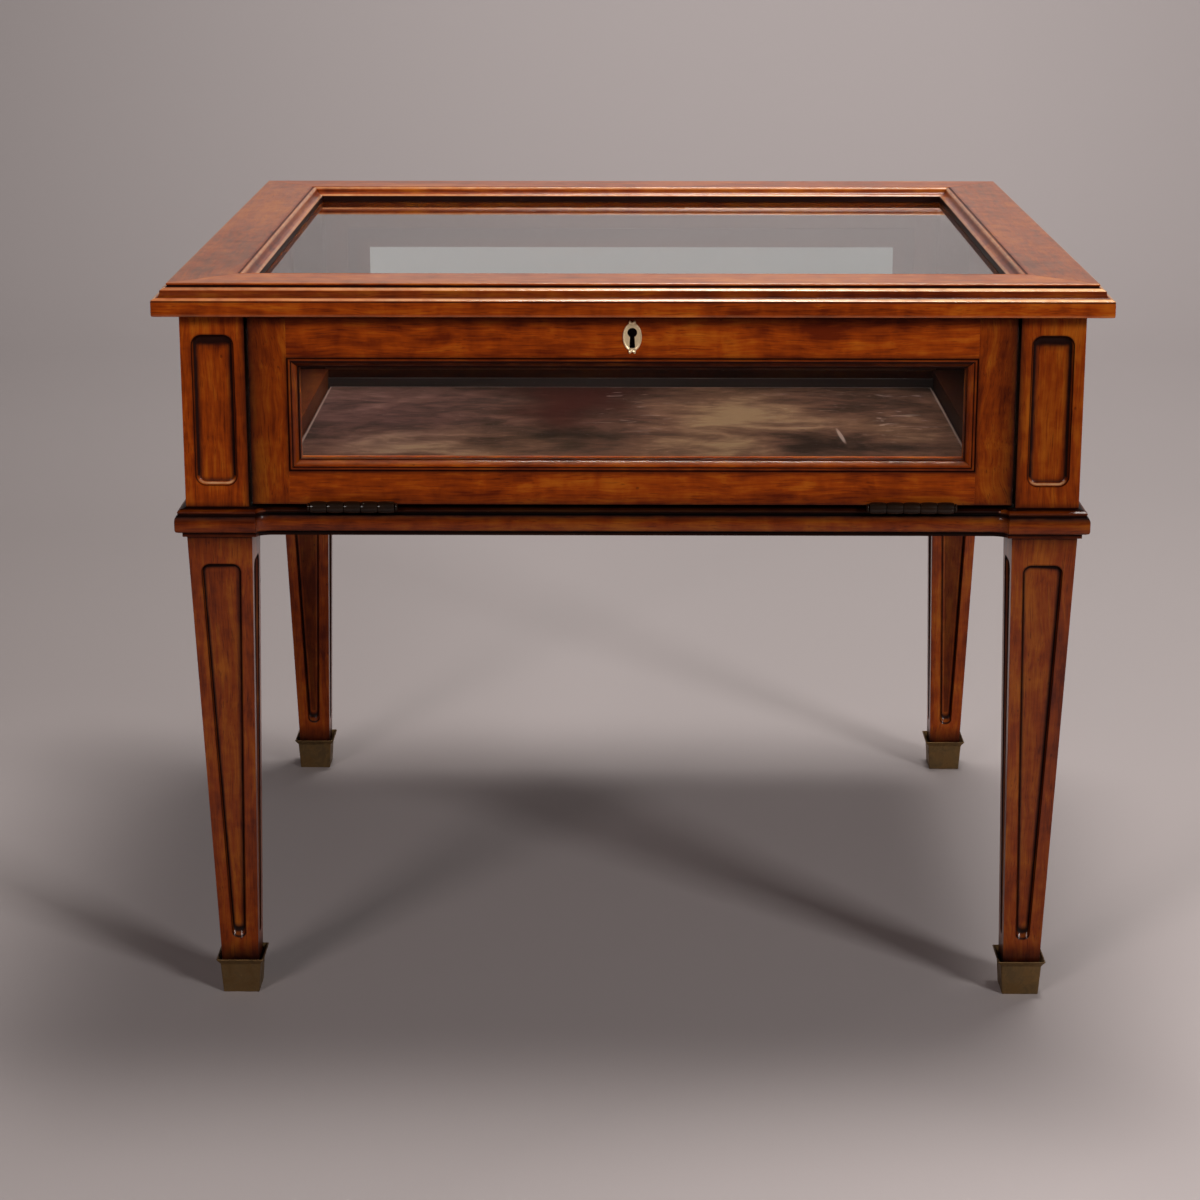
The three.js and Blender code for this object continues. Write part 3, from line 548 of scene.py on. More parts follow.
def turned_tube(profile):
    """A closed profile of (along X, radius) spun round the X axis."""
    shape = new_shape()
    verts = [shape.verts.new((x, 0, radius)) for x, radius in profile]
    edges = [shape.edges.new(pair) for pair in zip(verts, verts[1:])]
    if profile[0][1] > 0:
        edges.append(shape.edges.new((verts[-1], verts[0])))
    bmesh.ops.spin(
        shape, geom=[*verts, *edges], cent=(0, 0, 0), axis=(1, 0, 0), angle=2 * math.pi,
        steps=32, use_merge=True,
    )
    bmesh.ops.remove_doubles(shape, verts=shape.verts, dist=CLOSE)
    return shape


def soften(shape, rule, width):
    """Rounds the sharp edges whose middles answer to a rule."""
    shape.normal_update()
    edges = [
        edge for edge in shape.edges
        if len(edge.link_faces) == 2 and edge.calc_face_angle() > 0.6
        and rule((edge.verts[0].co + edge.verts[1].co) / 2)
    ]
    bmesh.ops.bevel(
        shape, geom=edges, affect="EDGES", offset=width, offset_type="OFFSET", segments=3,
        profile=0.5, material=-1, clamp_overlap=True,
    )


def screw_head(place, radius, turn):
    """A slotted countersunk head, level with the plane z = 0 of its place, facing up."""
    shape = new_shape()
    bmesh.ops.create_cone(
        shape, cap_ends=True, segments=28, radius1=radius * 0.7, radius2=radius, depth=0.8,
        matrix=Matrix.Translation((0, 0, -0.3)),
    )
    cut_at(shape, 1, -0.14 * radius, 0.14 * radius)
    shape.normal_update()
    slot = next(
        f for f in shape.faces if f.normal.z > 0.9 and abs(f.calc_center_median().y) < 0.05 * radius
    )
    slot = extruded(shape, slot)
    bmesh.ops.translate(shape, vec=(0, 0, -0.35), verts=slot.verts)
    return moved(shape, place @ Matrix.Rotation(turn, 4, "Z"))


def to_metres(shape):
    """Turns a shape's faces outward and its millimetres into metres."""
    bmesh.ops.recalc_face_normals(shape, faces=shape.faces)
    bmesh.ops.scale(shape, vec=(MM, MM, MM), verts=shape.verts)


def as_object(name, shape, *materials):
    """Makes a shape an object of the scene."""
    mesh = bpy.data.meshes.new(name)
    shape.to_mesh(mesh)
    shape.free()
    for material in materials:
        mesh.materials.append(material)
    mesh.shade_smooth()
    made = bpy.data.objects.new(name, mesh)
    bpy.context.scene.collection.objects.link(made)
    return made


def finished(name, shape, body, materials, stands_for=(), arris=0.3, smooth=32, shade=0.0):
    """Makes a piece of a shape: metres, outward faces, soft arrises, its body and its node.
    Shade is how much darker than its material the piece is, and below 0 how much paler: partly its
    own tone, partly painted light and shade that evens out how the lamps fall on it."""
    to_metres(shape)
    layer = shape.verts.layers.float.new("shade")
    for vert in shape.verts:
        vert[layer] = shade
    piece = as_object(name, shape, *(bpy.data.materials[material] for material in materials))
    piece.data.set_sharp_from_angle(angle=math.radians(smooth))
    if arris:
        bevel = piece.modifiers.new("soft arrises", "BEVEL")
        bevel.width = arris * MM
        bevel.segments = 2
        bevel.limit_method = "ANGLE"
        bevel.angle_limit = math.radians(40)
    normals = piece.modifiers.new("even shading", "WEIGHTED_NORMAL")
    normals.keep_sharp = True
    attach(piece, body)
    if stands_for:
        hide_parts(*stands_for)
    return piece


# Materials

class Signal:
    """A socket's output, on which sums can be written."""

    def __init__(self, finish, socket):
        self.finish, self.socket = finish, socket

    def _sum(self, operation, first, second):
        return self.finish.add("Math", {"operation": operation}, {0: first, 1: second})

    def __add__(self, other):
        return self._sum("ADD", self, other)

    def __radd__(self, other):
        return self._sum("ADD", other, self)

    def __sub__(self, other):
        return self._sum("SUBTRACT", self, other)

    def __rsub__(self, other):
        return self._sum("SUBTRACT", other, self)

    def __mul__(self, other):
        return self._sum("MULTIPLY", self, other)

    def __rmul__(self, other):
        return self._sum("MULTIPLY", other, self)


class Finish:
    """One material, or the world, and its nodes."""

    def __init__(self, name, kind=None):
        self.owner = (bpy.data.materials if kind is None else kind).new(name)
        self.owner.use_nodes = True
        self.tree = self.owner.node_tree
        self.tree.nodes.clear()

    def add(self, kind, settings=None, sockets=None, output=0):
        """Makes a node. Settings come first, and then the values or links of its sockets."""
        node = self.tree.nodes.new(f"ShaderNode{kind}")
        for key, value in (settings or {}).items():
            if key == "stops":
                ramp = node.color_ramp
                while len(ramp.elements) < len(value):
                    ramp.elements.new(0.5)
                for element, (position, shade) in zip(ramp.elements, value):
                    element.position = position
                    element.color = shade if hasattr(shade, "__len__") else (shade, shade, shade, 1)
            else:
                setattr(node, key, value)
        for key, value in (sockets or {}).items():
            if isinstance(value, Signal):
                self.tree.links.new(value.socket, node.inputs[key])
            else:
                node.inputs[key].default_value = value
        return Signal(self, node.outputs[output]) if node.outputs else None

    def place(self, scale=(1, 1, 1), shift=(0, 0, 0), turn=(0, 0, 0)):
        coordinates = self.add("TexCoord", output=3)
        return self.add("Mapping", None, {
            "Vector": coordinates, "Scale": scale, "Location": shift, "Rotation": turn,
        })

    def noise(self, vector, scale, detail, roughness, distortion=0.0):
        return self.add("TexNoise", None, {
            "Vector": vector, "Scale": scale, "Detail": detail, "Roughness": roughness,
            "Distortion": distortion,
        })

    def ramp(self, value, *stops):
        return self.add("ValToRGB", {"stops": stops}, {"Fac": value})

    def blend(self, factor, first, second, kind="MIX"):
        return self.add(
            "Mix", {"data_type": "RGBA", "blend_type": kind}, {0: factor, 6: first, 7: second}, 2,
        )

    def dimmed(self, colour, share):
        return self.add("VectorMath", {"operation": "SCALE"}, {0: colour, 3: share})

    def wander(self, vector, scale, detail, reach):
        """A push that turns this way and that over the surface, of about a reach in metres."""
        push = self.add("TexNoise", None, {"Vector": vector, "Scale": scale, "Detail": detail}, 1)
        push = self.add("VectorMath", {"operation": "SUBTRACT"}, {0: push, 1: (0.5, 0.5, 0.5)})
        return self.dimmed(push, reach)

    def pushed(self, vector, push):
        return self.add("VectorMath", {"operation": "ADD"}, {0: vector, 1: push})

    def bump(self, height, distance, strength, under=None):
        sockets = {"Height": height, "Distance": distance, "Strength": strength}
        if under is not None:
            sockets["Normal"] = under
        return self.add("Bump", None, sockets)

    def surface(self, **sockets):
        named = {key.replace("_", " "): value for key, value in sockets.items()}
        return self.add("BsdfPrincipled", None, named)

    def end(self, shader, output="OutputMaterial"):
        self.add(output, None, {"Surface": shader})
        return self.owner


def rgba(colour):
    return (*colour[:3], 1)


def scaled(colour, share):
    return (*(channel * share for channel in colour[:3]), 1)


def wood_finish(name, along, colours, seed, gloss=1.0, swirl=0.0025):
    """Lacquered wood with its grain along one axis, darkened where the glaze and painted shade lie and
    paler where painted highlights and wear from rubbing lie. Swirl is how far the figure wanders, in
    metres."""
    finish = Finish(name)
    mid, light, dark, glaze = colours
    push = finish.wander(finish.place(shift=(seed, seed * 2, seed * 3)), 11, 2, swirl * 5)

    def stretched(share):
        scale = [1, 1, 1]
        scale[along] = share
        return finish.add("Mapping", None, {
            "Vector": finish.pushed(finish.place(), push), "Scale": scale,
            "Location": (seed * 1.37, seed * 0.71, seed * 2.13),
        })

    figure = finish.noise(stretched(0.4), 15, 3, 0.55, 0.6)
    mottle = finish.noise(stretched(1.5), 38, 3, 0.6, 0.3)
    streaks = finish.noise(stretched(0.06), 110, 4, 0.6, 0.2)
    flecks = finish.noise(stretched(0.18), 210, 2, 0.5, 0.3)
    fibres = finish.noise(stretched(0.025), 900, 2, 0.5)
    pores = finish.ramp(finish.noise(stretched(0.035), 1500, 1, 0.4), (0.62, 0), (0.7, 1))
    specks = finish.ramp(
        finish.add("TexVoronoi", {"feature": "F1"}, {
            "Vector": stretched(0.7), "Scale": 55, "Randomness": 1.0,
        }),
        (0.0, 1), (0.035, 1), (0.06, 0),
    )
    tone = figure * 0.56 + mottle * 0.34 + streaks * 0.4 + flecks * 0.34 + fibres * 0.22 - 0.43
    colour = finish.ramp(tone, (0.32, rgba(dark)), (0.5, rgba(mid)), (0.68, rgba(light)))
    colour = finish.blend(pores * 0.45, colour, scaled(dark, 0.35))
    colour = finish.blend(specks * 0.5, colour, scaled(dark, 0.3))
    # Above 0 the layer darkens to the glaze colour, glaze and painted shade; below 0 it pales to cream,
    # painted highlight and some wear
    glaze_and_light_value = finish.add("Attribute", {"attribute_name": "glaze"}, None, 2)
    uneven = finish.noise(stretched(0.8), 90, 3, 0.6)
    depth = finish.add("Clamp", None, {"Value": glaze_and_light_value * (0.8 + uneven * 0.7)})
    wear_and_highlight = finish.add("Clamp", None, {"Value": glaze_and_light_value * (uneven * -1.6)})
    colour = finish.blend(wear_and_highlight, colour, (light[0] + 0.4, light[1] + 0.36, light[2] + 0.22, 1))
    colour = finish.blend(depth, colour, rgba(glaze))
    # Shade dims the whole piece: partly its tone, partly painted light and shade
    shade = finish.add("Attribute", {"attribute_name": "shade"}, None, 2)
    colour = finish.dimmed(colour, 1 - shade)
    waviness = finish.noise(stretched(0.5), 70, 2, 0.5)
    smooth = finish.bump(waviness, 0.0004, 0.025)
    normal = finish.bump(pores * -1 + fibres * 0.35, 0.00006, 0.5, smooth)
    shader = finish.surface(
        Base_Color=colour, Roughness=(0.44 - 0.12 * gloss) + streaks * 0.12 + depth * 0.1,
        Specular_IOR_Level=0.08, Coat_Weight=0.44 * gloss - depth * (0.4 * gloss),
        Coat_Roughness=0.09, Coat_IOR=1.5, Normal=normal,
    )
    return finish.end(shader)


def glass_finish(name, tone):
    """Clear glass that lets the lamps' light through."""
    finish = Finish(name)
    smear = finish.ramp(finish.noise(finish.place(), 9, 4, 0.6, 1.2), (0.45, 0.0), (0.8, 0.06))
    pane = finish.surface(
        Base_Color=rgba(tone), Roughness=smear * 0.4, Transmission_Weight=1.0, IOR=1.5,
    )
    through = finish.add("BsdfTransparent", None, {"Color": rgba(tone)})
    path = finish.add("LightPath", output=1)
    return finish.end(finish.add("MixShader", None, {0: path, 1: pane, 2: through}))


def velvet_finish(name, colour):
    """Velvet with pale and dark patches where its pile lies this way and that: partly the cloth's own
    colour, partly painted sheen.
    """
    finish = Finish(name)
    bent = finish.pushed(finish.place(), finish.wander(finish.place(), 9, 3, 0.16))

    def patch(x, y, reach_x, reach_y, turn=0.0, vector=bent):
        """1 at a place in millimetres, falling to 0 at its reach."""
        centred = finish.add("Mapping", {"vector_type": "TEXTURE"}, {
            "Vector": vector, "Location": (x * MM, y * MM, 0), "Rotation": (0, 0, turn),
            "Scale": (reach_x * MM, reach_y * MM, 1),
        })
        level = finish.add("VectorMath", {"operation": "MULTIPLY"}, {0: centred, 1: (1, 1, 0)})
        return finish.add("TexGradient", {"gradient_type": "SPHERICAL"}, {"Vector": level}, 1)

    pale_velvet = [channel * 2.6 + 0.14 for channel in colour]
    broad = finish.noise(bent, 8, 2, 0.5, 0.4)
    strokes = finish.noise(finish.place((0.5, 0.8, 1), (0, 0, 0), (0, 0, 0.12)), 26, 4, 0.62, 1.0)
    fine = finish.noise(finish.place((0.5, 0.8, 1), (0, 0, 0), (0, 0, -0.15)), 130, 3, 0.6, 0.6)
    pile = finish.noise(finish.place(), 2600, 1, 0.5)
    red = patch(-49, 165, 75, 130) + patch(-80, 240, 120, 45) * 0.6
    pale = patch(95, 130, 90, 170) + patch(75, -20, 75, 75) + patch(-150, 0, 200, 75) * 0.9
    pale = pale + patch(215, 60, 100, 90) * 0.7
    deep = patch(150, -12, 85, 65) * 0.75 + patch(215, 200, 60, 90) * 0.25
    deep = deep + patch(-60, 25, 120, 70) * 0.85
    lie = broad * 0.3 + strokes * 0.52 + fine * 0.2 - 0.02
    lie = lie + pale * 0.16 - red * 0.24 - deep * 0.22 - 0.012
    base = finish.ramp(
        lie, (0.33, scaled(colour, 0.2)), (0.43, scaled(colour, 0.6)), (0.54, scaled(colour, 1.35)),
        (0.67, (colour[0] * 2.6, colour[1] * 3.2, colour[2] * 3.0, 1)),
    )
    cool = finish.add("Clamp", None, {"Value": patch(-250, 130, 190, 260) * 1.3})
    base = finish.blend(cool * 0.5, base, (0.9, 0.9, 1.5, 1), "MULTIPLY")
    olive = finish.add("Clamp", None, {"Value": pale * 1.2})
    base = finish.blend(olive * 0.5, base, (1.0, 1.16, 0.95, 1), "MULTIPLY")
    ruddy = finish.add("Clamp", None, {"Value": red * 1.4})
    wine = (colour[0] * 0.5, colour[1] * 0.16, colour[2] * 0.16, 1)
    base = finish.blend(ruddy * 0.75, base, wine)
    scratches = finish.ramp(
        finish.noise(finish.place((0.5, 1.3, 1), (1.9, 0.3, 0), (0, 0, 0.25)), 60, 2, 0.5, 1.6),
        (0.635, 0), (0.71, 1),
    )
    handled = patch(225, 160, 150, 200) * 1.6 + patch(-20, 245, 80, 60) * 1.5
    handled = finish.add("Clamp", None, {"Value": handled + patch(20, 110, 60, 90)})
    base = finish.blend(scratches * handled * 0.6, base, scaled(pale_velvet, 0.8))
    tick = finish.ramp(patch(183, 30, 2.4, 42, 0.05, finish.place()), (0.1, 0), (0.5, 1))
    base = finish.blend(tick * 0.6, base, rgba(pale_velvet))
    # Paler along the hem: a painted highlight where the cloth rounds over the board's edge
    made_paler = finish.add("Attribute", {"attribute_name": "glaze"}, None, 2)
    base = finish.blend(made_paler, base, rgba(pale_velvet))
    normal = finish.bump(pile * 0.4 + fine, 0.0006, 0.5)
    shader = finish.surface(
        Base_Color=base, Roughness=0.95, Sheen_Weight=0.04, Sheen_Roughness=0.4,
        Sheen_Tint=(1, 0.85, 0.75, 1), Specular_IOR_Level=0.02, Normal=normal,
    )
    return finish.end(shader)


def metal_finish(name, colour, tarnish, roughness, wear, metallic=1.0, coat=0.0, shine=0.5):
    """Handled metal: tarnish in patches, fine scratches and lighter rubbed places."""
    finish = Finish(name)
    patches = finish.noise(finish.place(), 95, 4, 0.6, 0.6)
    fine = finish.noise(finish.place((1, 1, 0.15)), 900, 2, 0.5)
    amount = finish.ramp(patches, (0.38, 0), (0.66, 1))
    base = finish.blend(amount * (1 - wear), rgba(colour), rgba(tarnish))
    normal = finish.bump(patches + fine * 0.3, 0.0002, 0.35)
    shader = finish.surface(
        Base_Color=base, Metallic=metallic - amount * (metallic * 0.35),
        Roughness=roughness + amount * 0.2 + fine * 0.08, Specular_IOR_Level=shine,
        Coat_Weight=coat, Coat_Roughness=0.07, Normal=normal,
    )
    return finish.end(shader)


def board_finish(name, colour):
    """Plain stained board: even, matt, with faint fibres."""
    finish = Finish(name)
    fibres = finish.noise(finish.place((0.06, 1, 1)), 160, 4, 0.6)
    mottle = finish.noise(finish.place(), 18, 3, 0.6)
    tone = fibres * 0.6 + mottle * 0.4
    base = finish.ramp(tone, (0.3, scaled(colour, 0.55)), (0.7, scaled(colour, 1.4)))
    shader = finish.surface(
        Base_Color=base, Roughness=0.5 + mottle * 0.2, Normal=finish.bump(fibres, 0.0002, 0.3),
    )
    return finish.end(shader)


# Settings that a user would change

def colour_setting(name, description, default):
    return bpy.props.FloatVectorProperty(
        name=name, description=description, default=default, subtype="COLOR", size=3, min=0, max=1,
    )


def width_setting(name, description, default, low, high):
    return bpy.props.FloatProperty(
        name=name, description=description, default=default * MM, min=low * MM, max=high * MM,
        unit="LENGTH",
    )


def power_setting(name, description, default):
    return bpy.props.FloatProperty(
        name=name, description=description, default=default, min=0, unit="POWER",
    )


class DisplayTableColours(bpy.types.PropertyGroup):
    wood_mid: colour_setting("Wood", "Main colour of the lacquered wood", (0.29, 0.043, 0.0012))
    wood_light: colour_setting("Light grain", "Colour of the palest grain", (0.44, 0.108, 0.005))
    wood_dark: colour_setting("Dark grain", "Colour of the darkest grain", (0.115, 0.0125, 0.0008))
    # The dark laid into grooves and hollows: partly glaze, partly painted shade
    glaze: colour_setting(
        "Glaze", "Colour of the stain rubbed into the grooves", (0.014, 0.0022, 0.0009),
    )
    # The inside colour, darkened, also gives the black that lines the pockets and the back strip:
    # painted shade
    inside: colour_setting(
        "Inside stain", "Colour of the stained board and strips inside", (0.07, 0.016, 0.008),
    )
    velvet: colour_setting("Velvet", "Colour of the velvet", (0.062, 0.026, 0.017))
    pane: colour_setting("Glass", "Tint of the panes", (0.83, 0.86, 0.85))
    aged_brass: colour_setting("Aged brass", "Colour of the sabots", (0.24, 0.145, 0.06))
    pale_brass: colour_setting(
        "Pale brass", "Colour of the escutcheon, strike plate and bolt", (0.88, 0.69, 0.42),
    )
    bronze: colour_setting("Bronze", "Colour of the hinges", (0.016, 0.006, 0.002))


class DisplayTableSizes(bpy.types.PropertyGroup):
    arris: width_setting("Arris", "Width of the softened edges of the wood", 0.4, 0, 1)
    panel_edge: width_setting("Post panel edge", "Width of the hollow round a post's panel", 6.2, 2, 7)
    leg_edge: width_setting("Leg panel edge", "Width of the hollow round a leg's panel", 3.2, 1, 4)
    panel_depth: width_setting(
        "Panel depth", "How deep the panels of the posts and legs are sunk", 4.2, 1, 6,
    )


class DisplayTableStage(bpy.types.PropertyGroup):
    floor: colour_setting("Floor", "Colour of the floor and backdrop", (0.385, 0.345, 0.346))
    overhead: power_setting("Overhead light", "Power of the soft light above", 64)
    right: power_setting("Right light", "Power of the soft light at the front right", 103)
    left: power_setting("Left light", "Power of the soft light at the front left", 36)
    backdrop: power_setting("Backdrop light", "Power of the soft light on the backdrop", 48)


def colours():
    return bpy.context.scene.display_table_colours


def sizes():
    return bpy.context.scene.display_table_sizes


WOODS = ("wood_x", "wood_y", "wood_z")


class DISPLAYTABLE_OT_finishes(bpy.types.Operator):
    """Make the wood, glass, velvet and metal materials"""

    bl_idname = "display_table.finishes"
    bl_label = "Finishes"
    bl_options = {"REGISTER", "UNDO"}

    def execute(self, context):
        chosen = colours()
        tones = (chosen.wood_mid, chosen.wood_light, chosen.wood_dark, chosen.glaze)
        for axis, name in enumerate(WOODS):
            wood_finish(name, axis, tones, axis + 1)
        # Copies of the wood for inside the case: one in painted shade, and one less dark, painted lit,
        # for the left waist rail's inside
        inner = [scaled(tone, 0.18)[:3] for tone in tones]
        wood_finish("dull_wood", 0, inner, 7, gloss=0.3)
        ruddy = [(tone[0] * 0.58, tone[1] * 0.62, tone[2] + 0.003) for tone in tones]
        wood_finish("ruddy_wood", 1, ruddy, 7, gloss=0.3)
        wood_finish("figured_wood", 2, tones, 9, swirl=0.007)
        board_finish("stained_board", chosen.inside)
        # A black made from the inside stain lines pockets and the back strip: painted shade
        board_finish("black_strip", scaled(chosen.inside, 0.22))
        board_finish("bare_board", (0.25, 0.15, 0.07))
        glass_finish("clear_pane", chosen.pane)
        velvet_finish("brushed_velvet", chosen.velvet)
        brass, keyhole_brass, bronze = chosen.aged_brass, chosen.pale_brass, chosen.bronze
        metal_finish("sabot_brass", brass, scaled(brass, 0.3), 0.42, 0.2)
        metal_finish("keyhole_brass", keyhole_brass, scaled(keyhole_brass, 0.45), 0.3, 0.5, 0.55)
        metal_finish("hinge_bronze", bronze, scaled(bronze, 0.4), 0.4, 0.3, 0.1, 0.35, 0.1)
        metal_finish("lock_steel", (0.5, 0.49, 0.47), (0.2, 0.18, 0.16), 0.35, 0.4)
        return {"FINISHED"}


class DISPLAYTABLE_OT_top_frame(bpy.types.Operator):
    """Make the four mitred and moulded rails of the top"""

    bl_idname = "display_table.top_frame"
    bl_label = "Top frame"
    bl_options = {"REGISTER", "UNDO"}

    def execute(self, context):
        thick = TOP_HIGH.z - TOP_LOW.z
        half_x, half_y = TOP_HIGH.x - TOP_RAIL, TOP_HIGH.y - TOP_RAIL
        edge_start = TOP_RAIL - EDGE_REACH
        # The glaze column: painted shade under the top and in its rebate, and at the band's lower arris
        # (-0.08) a painted highlight
        section = [
            (TOP_REBATE, 0, 0.3),
            (POST_SIZE, 0, 0.5),
            (TOP_RAIL - 1.3, 0, 0.2),
            (TOP_RAIL - 0.4, 0.3, -0.08),
            (TOP_RAIL, 1.3, -0.08),
            (TOP_RAIL, 2.4, 0),
            (TOP_RAIL, TOP_BAND - 0.8, 0),
            *spread(EDGE_PROFILE, EDGE_REACH, thick - TOP_BAND, edge_start, TOP_BAND),
            (edge_start - 2, thick, 0),
            (edge_start - 12, thick, 0),
            (SIGHT_WIDTH * 1.04 + 2, thick, 0),
            *spread(SIGHT_PROFILE, SIGHT_WIDTH, SIGHT_HEIGHT, 0, thick - SIGHT_HEIGHT),
            (0, TOP_REBATE_LEVEL, 0.95),
            (TOP_REBATE, TOP_REBATE_LEVEL, 0.9),
        ]
        for side, (_, along_x, _) in SIDES.items():
            # The flats are painted paler on every side: a painted reflection of the backdrop
            made_paler = {"front": -0.16, "back": -0.1}.get(side, -0.14)
            wear_and_highlight = [(across, up, made_paler if up == thick and not dark else dark)
                      for across, up, dark in section]
            bar = moulded_bar(wear_and_highlight, half_x if along_x else half_y)
            moved(bar, side_matrix(side, half_x, half_y, TOP_LOW.z))
            if side == "front":
                # Painted highlights on the front edge grow stronger towards the right
                layer = glaze_and_painted_light_of(bar)
                for vert in bar.verts:
                    if vert[layer] < -0.3:
                        vert[layer] *= 0.75 + 0.45 * vert.co.x / CASE_X
                self.house_strike(bar)
            # Shade per rail: painted light on the front rail, painted shade on the side rails and a
            # little on the back
            finished(
                f"top_rail_{side}_moulded", bar, "case",
                [WOODS[0 if along_x else 1], "black_strip"],
                [f"top_rail_{side}"], arris=sizes().arris / MM,
                shade={"front": -0.08, "back": 0.03}.get(side, 0.18),
            )
        return {"FINISHED"}

    def house_strike(self, bar):
        """Lets the strike plate into the front rail, with room for the bolt above it. The pockets are
        lined black: painted shade.
        """
        low, high = span("strike_plate")
        floor = high.z + POCKET_EASE
        pockets = (
            ("strike_plate", POCKET_EASE, low.z, floor - low.z),
            ("lock_bolt", BOLT_ROOM, floor, BOLT_SLOT),
        )
        for node, room, level, depth in pockets:
            near, far = span(node)
            (x0, x1), (y0, y1) = (near.x - room, far.x + room), (near.y - room, far.y + room)
            face = face_at(bar, (0, (low.y + high.y) / 2, level))
            let_in(bar, face, [(x, y, level) for x, y in ((x0, y0), (x1, y0), (x1, y1), (x0, y1))],
                   depth, 1)


class DISPLAYTABLE_OT_posts(bpy.types.Operator):
    """Make the four corner posts with their sunk panels"""

    bl_idname = "display_table.posts"
    bl_label = "Corner posts"
    bl_options = {"REGISTER", "UNDO"}

    def execute(self, context):
        low, high = POST_LOW.z, POST_HIGH.z
        middle = POST_SIZE / 2
        half = middle - POST_PANEL_SIDE
        ends = (low + POST_PANEL_END, high - POST_PANEL_END)
        for corner, place in CORNERS.items():
            shape = block((0, 0, low), (POST_SIZE, POST_SIZE, high))
            for out, point in (
                ((0, -1, 0), lambda a, z: (middle + a, 0, z)),
                ((-1, 0, 0), lambda a, z: (0, middle + a, z)),
            ):
                corners = [point(a, z) for a, z in zip(
                    (-half, half, half, -half), (ends[0], ends[0], ends[1], ends[1]),
                )]
                sink_panel(
                    shape, face_towards(shape, out), out, corners, [POST_PANEL_SIDE] * 2,
                    sizes().panel_edge / MM, sizes().panel_depth / MM,
                )
            for axis in (0, 1):
                cut_at(shape, axis, *(POST_SIZE - near for near in (1.2, 4, 7)))
            for drop in (1.2, 4, 9):
                cut_at(shape, 2, low + drop, high - drop)
            # Painted shade: darker beside the door and the walls, and towards the ends under the top
            # and over the waist
            tint(shape, lambda co: fade(
                POST_SIZE - max(co.x, co.y), (0, 0.7), (1.2, 0.5), (4, 0.16), (7, 0),
            ))
            tint(shape, lambda co: fade(
                min(co.z - low, high - co.z), (0, 0.75), (1.2, 0.45), (4, 0.12), (9, 0),
            ))
            # The two faces that look into the case are in painted shade
            for face in shape.faces:
                nearest = [min(vert.co[axis] for vert in face.verts) for axis in (0, 1)]
                if max(nearest) > POST_SIZE - 0.01:
                    face.material_index = 1
            moved(shape, place)
            # Shade darkens the front right post: painted shade where the right lamp lights it more
            finished(
                f"post_{corner}_panelled", shape, "case", ["wood_z", "dull_wood"],
                [f"post_{corner}"], arris=sizes().arris / MM * 1.5,
                shade=0.19 if corner == "front_right" else 0.0,
            )
        return {"FINISHED"}


